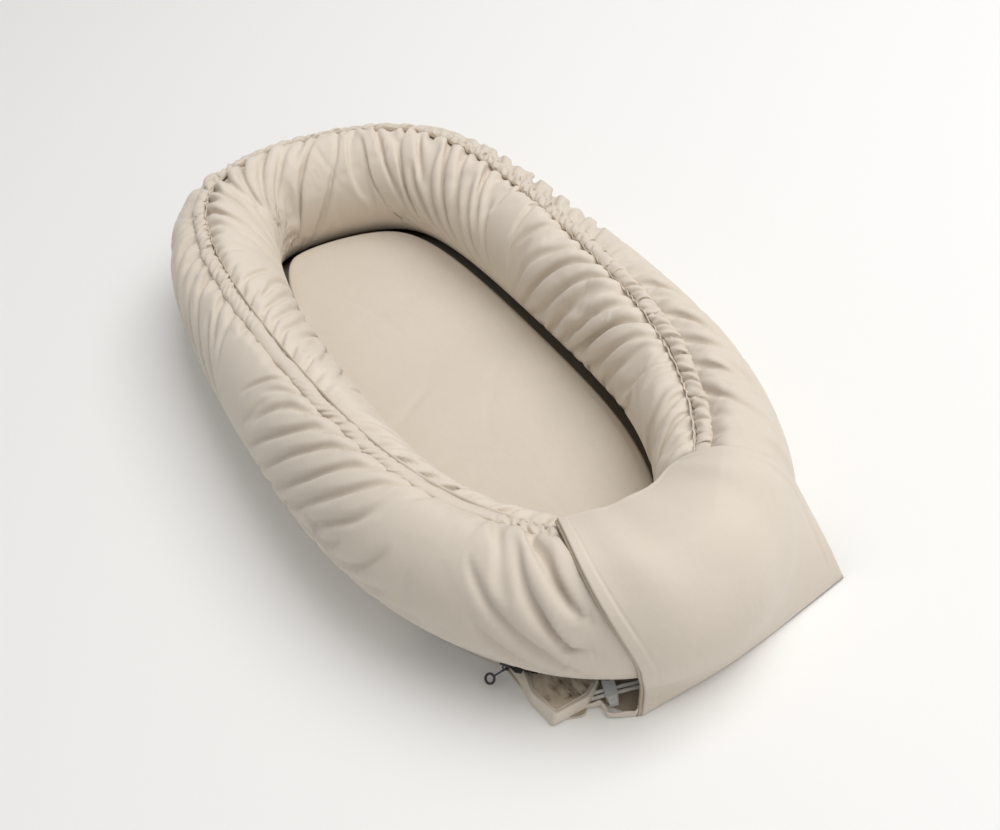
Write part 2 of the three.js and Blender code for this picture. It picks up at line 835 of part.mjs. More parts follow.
function makeTeeth(side) {
  const sign = side === 'cover' ? -1 : 1;
  const half = toothThickness / 2;
  const halfPitches = Math.floor((2 * teethEnd) / toothPitch);
  const rings = [];
  for (let k = 0; k <= halfPitches; k += 1) {
    const place = (teethEnd * k) / halfPitches;
    const root = sign * chainHalf;
    const tip = (sign * teethGap) / 2 + (k % 2 === 0 ? -toothReach : toothReach);
    rings.push([
      onZip(place, root, half, side),
      onZip(place, tip, half, side),
      onZip(place, tip, -half, side),
      onZip(place, root, -half, side),
    ]);
  }
  return loftSolid(rings, 'fan');
}

function makeStop(side) {
  const sign = side === 'cover' ? -1 : 1;
  const half = stopThickness / 2;
  const rings = [zipEnd - stopLength, zipEnd].map((place) => [
    onZip(place, sign * chainHalf, half, side),
    onZip(place, 0, half, side),
    onZip(place, 0, -half, side),
    onZip(place, sign * chainHalf, -half, side),
  ]);
  return loftSolid(rings, 'fan');
}

function makeEndStop() {
  const half = stopThickness / 2;
  const rings = [-clothGap - stopLength, -clothGap].map((place) => [
    onZip(place, -chainHalf, half, 'cover'),
    onZip(place, chainHalf, half, 'cover'),
    onZip(place, chainHalf, -half, 'cover'),
    onZip(place, -chainHalf, -half, 'cover'),
  ]);
  return loftSolid(rings, 'fan');
}

// Slider, in the zip's own frame: X back along the closed zip, Y down to the base, Z out.
// It straddles the chain from outside, and its bail carries the puller
const sliderLength = 11;
const sliderFromMouth = 7;
const sliderGap = 0.4;
const sliderWall = 1.1;
const sliderRound = 2;
const bailLength = 6.4;
const bailWidth = 1.2;
const bailBar = 0.9;
const bailInside = 2.7;
const sliderInside = toothThickness / 2 + sliderGap;
const sliderHalfWidth = chainHalf + sliderGap + sliderWall;
const sliderTop = sliderInside + sliderWall;
const hingeHeight = sliderTop + bailInside + bailBar / 2;

function makeSlider() {
  const bottom = tapeThickness / 2 + tapeGap;
  const height = sliderTop - bottom;
  const shell = roundedBlock(sliderLength, 2 * sliderHalfWidth, height, sliderRound);
  shell.translate(0, 0, bottom + height / 2);
  const channelHeight = sliderInside - bottom + cutOverrun;
  const channelWidth = 2 * (chainHalf + sliderGap);
  const channelMiddle = sliderInside - channelHeight / 2;
  const channel = block(sliderLength + 2 * cutOverrun, channelWidth, channelHeight, 0, 0, channelMiddle);
  const bailHeight = bailInside + bailBar + sliderWall / 2;
  const bailMiddle = sliderTop - sliderWall / 2 + bailHeight / 2;
  const arch = block(bailLength, bailWidth, bailHeight, 0, 0, bailMiddle);
  const openingLength = bailLength - 2 * bailBar;
  const openingWidth = bailWidth + 2 * cutOverrun;
  const opening = block(openingLength, openingWidth, bailInside, 0, 0, sliderTop + bailInside / 2);
  return cut(joined(cut(shell, channel), arch), opening);
}

// Puller: an eye over the bail, a narrow neck and a ring for the finger, a quarter turned against them
const pullerThickness = 1.2;
const eyeWidth = 4.8;
const eyeSlotWidth = 2.4;
const eyeBehind = 1.35;
const eyeAhead = 3;
const eyeWall = 0.9;
const neckWidth = 2.6;
const pullRingRadius = 5.5;
const pullRingHole = 3.4;
const pullerLength = 23;
const pullerTilt = 50;

function makePuller() {
  const eyeFrom = -(eyeBehind + eyeWall);
  const eyeTo = eyeAhead + eyeWall;
  const ringMiddle = pullerLength - pullRingRadius;
  const eye = block(eyeTo - eyeFrom, eyeWidth, pullerThickness, (eyeFrom + eyeTo) / 2, 0, 0);
  const neckEnd = ringMiddle - (pullRingRadius + pullRingHole) / 2;
  const neck = block(neckEnd - eyeAhead, neckWidth, pullerThickness, (neckEnd + eyeAhead) / 2, 0, 0);
  const ringSides = 24;
  const ring = new THREE.CylinderGeometry(pullRingRadius, pullRingRadius, pullerThickness, ringSides);
  ring.translate(ringMiddle, 0, 0);
  const holeHeight = pullerThickness + 2 * cutOverrun;
  const hole = new THREE.CylinderGeometry(pullRingHole, pullRingHole, holeHeight, ringSides);
  hole.translate(ringMiddle, 0, 0);
  const slotLength = eyeAhead + eyeBehind;
  const slot = block(slotLength, eyeSlotWidth, holeHeight, (eyeAhead - eyeBehind) / 2, 0, 0);
  return cut(joined(eye, neck, ring), hole, slot);
}

// Mattress pad: a core in a cover of two panels, with a low crown and drawn-in sides
const padClear = 8.4;
const padBottom = platformTop + clothGap;
const padHeight = 28;
const padCrown = 3;
const padSideDraw = 2;
const padCoverWall = 1;
const padRoundShares = [0.28, 0.62];
const padRoundDropShares = [0.42, 0.1];
const padRound = 6;
const crownShares = [0.12, 0.32, 0.56, 0.8];
const padStep = 2;

function padOutline() {
  const points = [];
  for (let column = 0; column < columnCount; column += padStep) {
    const place = station(column * columnStep);
    points.push(place.centre.clone().addScaledVector(place.outward, -place.halfWidth - padClear));
  }
  return points;
}

const padBox = new THREE.Box2().setFromPoints(padOutline());
const padMiddle = padBox.getCenter(new THREE.Vector2());
const padSize = padBox.getSize(new THREE.Vector2());
const padAspect = padSize.x / padSize.y;

// One level ring of the pad, drawn in by a share of its half width, or by a plain distance
function padRing(inset, share, height) {
  const halfWidth = padSize.x / 2;
  return padOutline().map((point) => {
    const x = point.x - padMiddle.x;
    const y = point.y - padMiddle.y;
    const drawnX = x * (1 - share) * (1 - inset / halfWidth);
    const drawnY = y * (1 - share * padAspect) * (1 - (inset / halfWidth) * padAspect);
    return new THREE.Vector3(padMiddle.x + drawnX, padMiddle.y + drawnY, height);
  });
}

// Rings from the pad's lower edge over its side and round its shoulder to the crown
function padShellRings(inset, bottom, top) {
  const side = mix(bottom, top - padRound, 1 / 2);
  const shoulder = top - padRound;
  const rings = [
    padRing(inset, 0, bottom),
    padRing(inset + padSideDraw, 0, side),
    padRing(inset, 0, shoulder),
  ];
  padRoundShares.forEach((share, index) => {
    const drawn = inset + padRound * share * share;
    rings.push(padRing(drawn, 0, top - padRound * padRoundDropShares[index]));
  });
  crownShares.forEach((share) => {
    const rise = padCrown * (1 - (1 - share) ** 2);
    rings.push(padRing(inset + padRound, share, top + rise));
  });
  return rings;
}

function makePadTop() {
  const bottom = padBottom + padCoverWall + clothGap;
  const top = padBottom + padHeight;
  const outer = padShellRings(0, bottom, top);
  const inner = padShellRings(padCoverWall, bottom, top - padCoverWall);
  return loftSolid([...inner.reverse(), ...outer], 'fan');
}

function makePadCore() {
  const inset = padCoverWall + clothGap;
  const bottom = padBottom + padCoverWall + clothGap;
  const top = padBottom + padHeight - inset;
  return loftSolid(padShellRings(inset, bottom, top), 'fan');
}

function makePadBottom() {
  return loftSolid([padRing(0, 0, padBottom), padRing(0, 0, padBottom + padCoverWall)], 'fan');
}

// Foot flap: two cloths from the fold on the floor, up outside the foot and over its top. It meets
// the tube low at its left and runs straight from the floor to the tube's side at its right
const flapOff = 8.4;
const flapLowAngle = 125;
const flapLowRightAngle = 76;
const flapTopAngle = -34;
const flapTautFromShare = 0.3;
const flapSpreadFromShare = 0.2;
const flapSpreadShare = 1.55;
const flapRiseShares = [0, 0.126, 0.252, 0.377, 0.491, 0.591, 0.686, 0.774, 0.855, 0.931, 1];
const flapColumns = 12;
const flapHump = 3.2;
const flapHumpCount = 3;
const flapHumpFromAngle = 70;
const flapBottom = 0.2;

function flapPoint(share, rise, off) {
  const taut = smooth((share - flapTautFromShare) / (1 - flapTautFromShare));
  const angle = mix(mix(flapLowAngle, flapLowRightAngle, taut), flapTopAngle, rise);
  const spread = Math.max(0, (rise - flapSpreadFromShare) / (1 - flapSpreadFromShare));
  const left = mix(flapLeftLow, flapLeftHigh, spread ** flapSpreadShare);
  const place = station(mix(left, -flapRight, share));
  const humpUp = smooth((flapHumpFromAngle - angle) / flapHumpFromAngle);
  const wave = (1 - cosDeg(fullTurn * flapHumpCount * share)) / 2;
  return skinPoint(place, angle, off + flapHump * wave * humpUp);
}

// The fold on the floor at one place across the flap: the layers lie on each other, square to
// the way the cloth leaves the floor, and the lowest of them just clears the floor
const flapDepth = 2 * flapCloth + clothGap;

function flapFold(share, layer) {
  const foldX = mix(flapFoldLeft, flapFoldRight, share);
  const fold = new THREE.Vector3(foldX, flapFoldY, flapBottom);
  const rise = flapPoint(share, 0, flapOff).sub(fold).normalize();
  const out = new THREE.Vector3(0, -1, 0);
  out.addScaledVector(rise, -out.dot(rise)).setX(0).normalize();
  fold.z += Math.max(0, -out.z) * flapDepth;
  return fold.addScaledVector(out, layer);
}

function makeFlapSheet(layer) {
  const outerRows = [];
  const innerRows = [];
  for (let column = 0; column <= flapColumns; column += 1) {
    const share = column / flapColumns;
    const rowAt = (height) => {
      const rising = flapRiseShares.map((rise) => flapPoint(share, rise, flapOff + height));
      return [flapFold(share, height), ...rising];
    };
    outerRows.push(rowAt(layer + flapCloth));
    innerRows.push(rowAt(layer));
  }
  return sheetSolid(outerRows, innerRows, 'sheet');
}

// Band rows follow the skin, lower along the closed zip
function makeBand() {
  const outerRows = [];
  const innerRows = [];
  const first = Math.ceil(zipTo / (2 * columnStep));
  const last = Math.floor((ringLength - bandRightEnd) / (2 * columnStep));
  for (let pair = first; pair <= last; pair += 1) {
    const column = 2 * pair;
    const place = station(column * columnStep);
    const besideZip = place.distance > 0 && place.distance < zipFrom + columnStep;
    const top = besideZip ? bandZipAngle : bandTopAngle;
    const angles = [top, mix(top, bandFootAngle, 1 / 2), bandFootAngle];
    innerRows.push(angles.map((angle) => skinPoint(place, angle, bandOff)));
    outerRows.push(angles.map((angle) => skinPoint(place, angle, bandOff + bandCloth)));
  }
  return sheetSolid(outerRows, innerRows, 'sheet');
}

addPiece('bolster_insert', makeInsert(), whiteColour);
addPiece('cover_outer_panel', makePanel(outerAngles, outerGatherShares, flatGather), cottonColour);
addPiece('cover_inner_panel', makePanel(innerAngles, innerGatherShares, innerFlatGather), cottonShade);
addPiece('drawcord_casing', makeCasing(), cottonColour);
addPiece('drawcord', makeDrawcord(), whiteColour);

addPiece('base_bottom_panel', makeBasePanel(0, baseCloth, 0), cottonColour);
addPiece('base_lining', makeBasePanel(liningBottom, liningCloth, liningInset), liningColour);
addPiece('base_edge_band', makeBand(), cottonShade);
addPiece('platform_panel', makePlatform(), cottonShade);

addPiece('mattress_core', makePadCore(), whiteColour);
addPiece('mattress_cover_top', makePadTop(), cottonColour);
addPiece('mattress_cover_bottom', makePadBottom(), cottonShade);

addPiece('flap_face', makeFlapSheet(flapCloth + clothGap), cottonColour);
addPiece('flap_lining', makeFlapSheet(0), liningColour);

const lock = new THREE.Group();
lock.position.set(lockPlace.x, lockPlace.y, lockMiddle);
lock.rotation.z = lockTurn * toRadians;
lounger.add(lock);
const plasticRoughness = 0.4;
addPiece('cord_lock_body', makeLockBody(), whiteColour, plasticRoughness, 0, lock);
addPiece('cord_lock_button', makeLockButton(), whiteColour, plasticRoughness, 0, lock);
addPiece('cord_lock_spring', makeLockSpring(), metalColour, plasticRoughness, 1, lock);

const tapeFrom = chainHalf + tapeGap;
addPiece('zip_tape_cover_side', makeTape('cover', -(tapeFrom + coverTape), -tapeFrom), blackColour);
addPiece('zip_tape_base_side', makeTape('base', tapeFrom, tapeFrom + baseTape), blackColour);
addPiece('zip_teeth_cover_side', makeTeeth('cover'), blackColour, plasticRoughness);
addPiece('zip_teeth_base_side', makeTeeth('base'), blackColour, plasticRoughness);
addPiece('zip_stop_cover_side', makeStop('cover'), metalColour, plasticRoughness, 1);
addPiece('zip_stop_base_side', makeStop('base'), metalColour, plasticRoughness, 1);
addPiece('zip_end_stop', makeEndStop(), metalColour, plasticRoughness, 1);

const slider = new THREE.Group();
const sliderPlace = zipClosed - sliderFromMouth;
const zipBack = new THREE.Vector3().crossVectors(zipDown, zipOut);
const sliderBasis = new THREE.Matrix4().makeBasis(zipBack, zipDown, zipOut);
slider.quaternion.setFromRotationMatrix(sliderBasis);
slider.position.copy(onZip(sliderPlace, 0, 0, 'cover'));
lounger.add(slider);
addPiece('zip_slider', makeSlider(), metalColour, plasticRoughness, 1, slider);
const puller = new THREE.Group();
puller.position.set(0, 0, hingeHeight);
puller.rotation.y = -pullerTilt * toRadians;
slider.add(puller);
addPiece('zip_puller', makePuller(), metalColour, plasticRoughness, 1, puller);

export default lounger;
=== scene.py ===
import bpy
import bmesh
import math
import numpy as np
from mathutils import Matrix, Vector


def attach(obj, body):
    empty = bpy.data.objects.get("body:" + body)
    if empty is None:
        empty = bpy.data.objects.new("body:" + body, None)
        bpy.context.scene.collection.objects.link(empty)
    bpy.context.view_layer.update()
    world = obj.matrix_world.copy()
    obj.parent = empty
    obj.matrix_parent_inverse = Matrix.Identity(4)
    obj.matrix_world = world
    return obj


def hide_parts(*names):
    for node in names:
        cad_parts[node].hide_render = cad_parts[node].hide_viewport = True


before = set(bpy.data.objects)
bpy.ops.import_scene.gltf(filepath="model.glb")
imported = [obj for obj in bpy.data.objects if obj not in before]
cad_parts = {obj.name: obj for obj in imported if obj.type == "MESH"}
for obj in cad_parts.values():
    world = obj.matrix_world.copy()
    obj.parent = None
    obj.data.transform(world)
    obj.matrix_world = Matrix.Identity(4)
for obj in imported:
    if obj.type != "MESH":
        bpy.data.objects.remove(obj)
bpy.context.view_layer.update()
print("frame loaded")

# camera, as found from the outlines in the photograph
cameraView = {
    "place": (-0.3384, -0.9564, 0.9793),
    "right": (0.8351, -0.5204, -0.1783),
    "up": (0.4852, 0.5440, 0.6845),
    "lens": 46.8,
    "sensor": 36.0,
}


def addCamera(view):
    lens = bpy.data.cameras.new("photoCamera")
    lens.lens = view["lens"]
    lens.sensor_width = view["sensor"]
    camera = bpy.data.objects.new("photoCamera", lens)
    right = Vector(view["right"]).normalized()
    up = Vector(view["up"]).normalized()
    turn = Matrix((right, up, right.cross(up))).transposed().to_4x4()
    camera.matrix_world = Matrix.Translation(Vector(view["place"])) @ turn
    bpy.context.scene.collection.objects.link(camera)
    bpy.context.scene.camera = camera


addCamera(cameraView)

# plan of the ring and section of its tube, in metres, the same as the solid part
ring = {
    "halfWidth": 0.166,
    "halfLength": 0.386,
    "cornersAcross": 0.014,
    "cornersAlong": 0.004,
    "headRoom": 0.003,
    "footDraw": 0.014,
    "leanAcross": (0.024, 0.048),
    "leanAlong": (0.0, -0.036, -0.026, -0.008),
    "steps": 1440,
    "tangentAngle": 0.25,
}
tube = {
    "halfWidth": 0.054,
    "halfHeight": 0.067,
    "seat": 0.0028,
    "headSlim": 0.029,
    "rightSlim": 0.051,
    "ridge": 1.5,
    "ridgeAtHead": 25.0,
    "ridgeAtRight": 12.0,
    "coverEdge": 129.0,
}


def ringPlan(angle):
    a = np.radians(angle)
    x = (ring["halfWidth"] + ring["cornersAcross"]) * np.sin(a) + ring["cornersAcross"] * np.sin(3 * a)
    y = (ring["halfLength"] - ring["cornersAlong"]) * np.cos(a) + ring["cornersAlong"] * np.cos(3 * a)
    y = y + ring["headRoom"] * np.cos(2 * a) - ring["footDraw"] * np.cos(4 * a)
    for k, share in enumerate(ring["leanAcross"]):
        x = x + ring["halfWidth"] * share * np.cos((k + 1) * a)
    for k, share in enumerate(ring["leanAlong"]):
        y = y + ring["halfLength"] * share * np.sin((k + 1) * a)
    return x, y


# the plan is walked once round from the foot, and distances along it are added up
planAngles = np.linspace(180.0, 540.0, ring["steps"] + 1)
planX, planY = ringPlan(planAngles)
planMiddle = ((planX.max() + planX.min()) / 2, (planY.max() + planY.min()) / 2)
planDistance = np.concatenate([[0.0], np.cumsum(np.hypot(np.diff(planX), np.diff(planY)))])
ringLength = planDistance[-1]


# distances run from the foot's middle, by the left side to the head
def station(distance):
    angle = np.interp(np.mod(distance, ringLength), planDistance, planAngles)
    x, y = ringPlan(angle)
    aheadX, aheadY = ringPlan(angle + ring["tangentAngle"])
    backX, backY = ringPlan(angle - ring["tangentAngle"])
    alongX = aheadX - backX
    alongY = aheadY - backY
    size = np.hypot(alongX, alongY)
    a = np.radians(angle)
    slim = 1 - tube["headSlim"] * np.cos(a) - tube["rightSlim"] * np.sin(a)
    return {
        "x": x - planMiddle[0],
        "y": y - planMiddle[1],
        "outX": -alongY / size,
        "outY": alongX / size,
        "halfWidth": tube["halfWidth"] * slim,
        "halfHeight": tube["halfHeight"] * slim,
        "ridge": tube["ridge"] + tube["ridgeAtHead"] * np.cos(a) + tube["ridgeAtRight"] * np.sin(a),
        "headShare": 0.5 + 0.5 * np.cos(a),
    }


def signedDistance(distance):
    return np.mod(distance + ringLength / 2, ringLength) - ringLength / 2


# a point near the tube's skin, with the section angle counted from the top towards the outside
def skinPoint(distance, angle, off):
    place = station(distance)
    a = np.radians(angle)
    reach = (place["halfWidth"] + off) * np.sin(a)
    x = place["x"] + place["outX"] * reach
    y = place["y"] + place["outY"] * reach
    z = tube["seat"] + place["halfHeight"] + (place["halfHeight"] + off) * np.cos(a)
    return np.stack([x, y, z], axis=-1)


def smooth(share):
    s = np.clip(share, 0.0, 1.0)
    return s * s * (3 - 2 * s)


def mixed(first, last, share):
    return first + (last - first) * share


def unit(ways):
    return ways / np.linalg.norm(ways, axis=-1, keepdims=True)


def bell(offset):
    return np.exp(-(offset ** 2))


# a few sine waves over two coordinates, each with its height, its two rates and its shift
def waves(u, v, terms):
    return sum(tall * np.sin(u * rateU + v * rateV + shift) for tall, rateU, rateV, shift in terms)


weldDistance = 1e-6


# a grid of cloth whose two shares are laid out by place(); loops and poles are welded
def clothGrid(name, columns, rows, place, flatSize):
    shape = bmesh.new()
    shape.loops.layers.uv.new("cloth")
    bmesh.ops.create_grid(shape, x_segments=columns, y_segments=rows, size=0.5, calc_uvs=True)
    mesh = bpy.data.meshes.new(name)
    shape.to_mesh(mesh)
    shape.free()
    spots = np.empty(len(mesh.vertices) * 3)
    mesh.vertices.foreach_get("co", spots)
    spots = spots.reshape(-1, 3) + 0.5
    mesh.vertices.foreach_set("co", place(spots[:, 0], spots[:, 1]).ravel())
    uv = mesh.uv_layers["cloth"].data
    flat = np.empty(len(uv) * 2)
    uv.foreach_get("uv", flat)
    flat = (flat.reshape(-1, 2) * np.array(flatSize)).ravel()
    uv.foreach_set("uv", flat)
    shape = bmesh.new()
    shape.from_mesh(mesh)
    bmesh.ops.remove_doubles(shape, verts=shape.verts, dist=weldDistance)
    bmesh.ops.recalc_face_normals(shape, faces=shape.faces)
    return finishPiece(name, shape, mesh)


def finishPiece(name, shape, mesh):
    for face in shape.faces:
        face.smooth = True
    shape.to_mesh(mesh)
    shape.free()
    piece = bpy.data.objects.new(name, mesh)
    bpy.context.scene.collection.objects.link(piece)
    return piece


def thicken(piece, cloth):
    layer = piece.modifiers.new("clothThickness", "SOLIDIFY")
    layer.thickness = cloth
    layer.offset = -1


# the section of one small fold, in shares of its width, and how it fades in and out
foldSection = {
    "steepSide": 0.45,
    "easySide": 1.25,
    "farthest": 4,
    "fadeIn": 0.008,
    "fadeOut": 3,
}


# folds that run away from a gathered edge: each is a valley with one steep side
def foldDepth(along, spread, folds, seed):
    dice = np.random.default_rng(seed)
    depth = np.zeros_like(along)
    start = 0.0
    while start < ringLength:
        reach = dice.uniform(*folds["length"])
        deep = dice.uniform(*folds["depth"])
        width = dice.uniform(*folds["width"])
        lean = dice.normal(0.0, folds["lean"])
        bow = dice.normal(0.0, folds["bow"])
        steep = 1 if dice.random() < 0.5 else -1
        first = dice.uniform(*folds["start"])
        offset = signedDistance(along - start - lean * spread - bow * spread * spread / reach)
        wide = width * (1 + folds["open"] * spread / reach)
        cross = steep * offset / wide
        near = np.abs(cross) < foldSection["farthest"]
        slope = bell(cross / np.where(cross < 0, foldSection["steepSide"], foldSection["easySide"]))
        past = np.maximum(spread - first, 0)
        reached = smooth((spread - first) / foldSection["fadeIn"] + 0.5)
        reached = reached * np.exp(-((past / reach) ** foldSection["fadeOut"]))
        depth += np.where(near, deep * slope * reached, 0.0)
        start += dice.uniform(*folds["spacing"])
    return depth


# one kind of fold, with ranges of its spacing, length, depth and width and of where it starts
foldNames = ("spacing", "length", "depth", "width", "start", "lean", "bow", "open")


def foldKind(*values):
    return dict(zip(foldNames, values))


# the gathered cover: two long strips drawn in to the ring's length, outside and inside the ridge;
# a value that differs between the strips is kept by side, 1 outside and -1 inside,
# and a level is every so many columns, the rounds and the stiffness
cover = {
    "columns": 768,
    "rows": {1: 36, -1: 44},
    "cloth": 0.0012,
    "width": 0.15,
    "probe": 0.001,
    "gather": {1: (1.25, 1.0), -1: (1.30, 1.26)},
    "foldWidth": {1: 0.034, -1: 0.023},
    "foldVariety": 0.6,
    "slack": 1.06,
    "groove": {1: 0.0034, -1: 0.0058},
    "grooveHalf": 0.0075,
    "heldEdge": 0.002,
    "puff": 0.0030,
    "puffReach": 0.016,
    "puffEdge": 0.04,
    "firstAngle": 1.5,
    "rowShares": (0.6, 0.4),
    "rowPower": 1.6,
    "under": 160.0,
    "deepest": -0.0080,
    "proudest": 0.0070,
    "sideways": 0.004,
    "levels": {
        1: [(4, 150, 0.001), (2, 200, 0.008), (1, 100, 0.04)],
        -1: [(2, 280, 0.008), (1, 100, 0.04)],
    },
    "swell": 0.00002,
    "skew": 0.9,
    "noise": 0.0007,
    "ridge": 0.0050,
    "sharpness": 0.54,
    "calmFrom": {1: 0.0, -1: 0.040},
    "calmReach": {1: 0.100, -1: 0.065},
    "calmEdge": {1: 0.12, -1: 0.10},
    "leftCalm": {1: 0.50, -1: 0.62},
    "leftFrom": (0.12, 0.10),
    "leftTo": (0.60, 0.20),
    "flapFrom": (0.07, -0.06),
    "flapEase": 0.04,
    "underFlap": 0.08,
    "seed": 7,
    "foldSeed": {1: 11, -1: 31},
    "puckerSeed": {1: 51, -1: 71},
    "puckers": [
        foldKind((0.005, 0.015), (0.010, 0.036), (0.0005, 0.0021), (0.0016, 0.0034),
                 (0.003, 0.008), 0.35, 0.2, 1.6),
        foldKind((0.020, 0.060), (0.020, 0.070), (0.0004, 0.0014), (0.002, 0.0045),
                 (0.01, 0.08), 0.9, 0.6, 0.8),
    ],
    "folds": {
        1: [
            foldKind((0.008, 0.024), (0.012, 0.045), (0.001, 0.004), (0.002, 0.004),
                     (0.005, 0.008), 0.3, 0.1, 1.4),
            foldKind((0.018, 0.070), (0.03, 0.13), (0.0015, 0.006), (0.003, 0.0075),
                     (0.005, 0.03), 0.45, 0.5, 1.4),
        ],
        -1: [
            foldKind((0.008, 0.020), (0.015, 0.06), (0.0015, 0.0045), (0.002, 0.004),
                     (0.005, 0.008), 0.25, 0.1, 1.2),
            foldKind((0.014, 0.042), (0.05, 0.18), (0.003, 0.0085), (0.0035, 0.0075),
                     (0.005, 0.03), 0.3, 0.3, 0.9),
        ],
    },
}

# how quickly the settling cloth comes to rest, how much its diagonals and its rows resist,
# and how the width of its folds varies and their lean drifts round the ring
settling = {
    "keptSpeed": 0.85,
    "diagonal": 0.5,
    "downBend": 0.5,
    "average": 3,
    "varietyRates": (17, 5, 29, -7),
    "driftWaves": 3,
    "tiny": 1e-9,
}


# the cloth lies calm where the flap presses on it
def freeOfFlap(distance):
    signed = signedDistance(distance)
    left = smooth((signed - cover["flapFrom"][0]) / cover["flapEase"])
    right = smooth((cover["flapFrom"][1] - signed) / cover["flapEase"])
    return np.clip(left + right, 0, 1)


# the plain lie of one strip, before its gathers; side is 1 outside and -1 inside
def coverLie(distance, share, side):
    place = station(distance)
    last = tube["coverEdge"] - place["ridge"] if side > 0 else cover["under"] + place["ridge"]
    rows = cover["rowShares"][0] * share + cover["rowShares"][1] * share ** cover["rowPower"]
    away = cover["firstAngle"] + (last - cover["firstAngle"]) * rows
    size = (place["halfWidth"] + place["halfHeight"]) / 2
    spread = np.radians(away) * size
    toEdge = np.radians(last - away) * size
    rise = smooth((spread - cover["grooveHalf"]) / cover["puffReach"])
    puff = cover["puff"] * rise * smooth(toEdge / cover["puffEdge"])
    off = cover["cloth"] - cover["groove"][side] * (1 - rise) + puff
    angle = place["ridge"] + side * away
    return skinPoint(distance, angle, off), skinPoint(distance, angle, off + cover["probe"]), spread, toEdge


# half of what it takes to bring neighbours to their own distance
def springPull(spots, ahead, rest):
    gap = ahead - spots
    size = np.linalg.norm(gap, axis=-1, keepdims=True)
    return gap * (0.5 * (1 - rest / np.maximum(size, settling["tiny"])))


def springStep(spots, rest):
    total = np.zeros_like(spots)
    along = springPull(spots, np.roll(spots, -1, axis=1), rest["along"])
    total += along - np.roll(along, 1, axis=1)
    across = springPull(spots[:-1], spots[1:], rest["across"])
    total[:-1] += across
    total[1:] -= across
    rising = springPull(spots[:-1], np.roll(spots[1:], -1, axis=1), rest["rising"])
    total[:-1] += settling["diagonal"] * rising
    total[1:] -= settling["diagonal"] * np.roll(rising, 1, axis=1)
    falling = springPull(spots[:-1], np.roll(spots[1:], 1, axis=1), rest["falling"])
    total[:-1] += settling["diagonal"] * falling
    total[1:] -= settling["diagonal"] * np.roll(falling, -1, axis=1)
    return total / settling["average"]


# bending resists sharp turns: along the strip, and less so down the folds
def bendStep(spots, stiffness):
    curl = (np.roll(spots, 1, axis=1) + np.roll(spots, -1, axis=1)) / 2 - spots
    turn = curl - (np.roll(curl, 1, axis=1) + np.roll(curl, -1, axis=1)) / 2
    down = np.zeros_like(spots)
    down[1:-1] = (spots[:-2] + spots[2:]) / 2 - spots[1:-1]
    return stiffness * turn + settling["downBend"] * stiffness * down


# lets one gathered strip settle, first its long folds and then the fine ones
def settleStrip(lie, out, loose, first, gather, side, seed, settings):
    dice = np.random.default_rng(seed)
    move = first * loose[..., None]
    for coarse, rounds, stiffness in settings["levels"]:
        base = lie[:, ::coarse]
        normal = out[:, ::coarse]
        count = base.shape[1]
        free = loose[:, ::coarse, None]
        noise = dice.normal(0, settings["noise"], base.shape[:2])[..., None]
        spots = base + move[:, ::coarse] + normal * free * noise
        along = np.linalg.norm(np.roll(base, -1, axis=1) - base, axis=-1, keepdims=True)
        shares = np.linspace(0, 1, len(base))[:, None, None]
        step = float(along.mean())
        fullness = gather[0] + (gather[1] - gather[0]) * shares - 1
        along = along * (1 + fullness * free)
        turn = np.arange(count)[None, :, None] / count * 2 * math.pi
        round1, down1, round2, down2 = settling["varietyRates"]
        variety = np.sin(round1 * turn + down1 * shares + side) + np.sin(round2 * turn + down2 * shares)
        width = settings["foldWidth"] * (1 + 0.5 * settings["foldVariety"] * variety)
        cushion = stiffness / 4 * (2 * math.pi * step / width) ** 4
        across = np.linalg.norm(base[1:] - base[:-1], axis=-1, keepdims=True) * settings["slack"]
        drift = settings["skew"] * np.sin(settling["driftWaves"] * turn + side) * across
        rest = {"along": along, "across": across}
        rest["rising"] = np.hypot(along[:-1] + drift, across)
        rest["falling"] = np.hypot(along[:-1] - drift, across)
        speed = np.zeros_like(spots)
        height = np.sum((spots - base) * normal, axis=-1, keepdims=True)
        for beat in range(rounds):
            push = springStep(spots, rest) + bendStep(spots, stiffness)
            push += (settings["swell"] - cushion * height) * normal
            speed = settling["keptSpeed"] * speed + push * free
            shift = spots + speed - base
            height = np.sum(shift * normal, axis=-1, keepdims=True)
            flat = shift - height * normal
            size = np.linalg.norm(flat, axis=-1, keepdims=True)
            flat = flat * np.minimum(1, settings["sideways"] / np.maximum(size, settling["tiny"]))
            height = np.clip(height, settings["deepest"] * free, settings["proudest"] * free)
            spots = base + flat + height * normal
        level = spots - base
        turns = np.arange(lie.shape[1]) / coarse
        near = np.floor(turns).astype(int) % count
        between = (turns - np.floor(turns))[None, :, None]
        move = level[:, near] * (1 - between) + level[:, (near + 1) % count] * between
    height = np.sum(move * out, axis=-1)
    peak = settings["ridge"]
    fill = np.clip((1 + height / peak) / 2, 0, 1)
    rounded = peak * (2 * fill ** settings["sharpness"] - 1)
    change = np.where(np.abs(height) < peak, rounded - height, 0.0) * loose
    return lie + move + out * change[..., None]


def gridShares(rows, columns):
    along = np.broadcast_to(np.arange(columns) / columns, (rows + 1, columns))
    across = np.broadcast_to(np.arange(rows + 1)[:, None] / rows, (rows + 1, columns))
    return along, across


# twice the columns, with the new ones on a smooth curve through their neighbours
def doubled(grid):
    ahead = np.roll(grid, -1, axis=1)
    between = (9 * (grid + ahead) - np.roll(grid, 1, axis=1) - np.roll(grid, -2, axis=1)) / 16
    both = np.empty((grid.shape[0], 2 * grid.shape[1], grid.shape[2]))
    both[:, ::2] = grid
    both[:, 1::2] = between
    return both


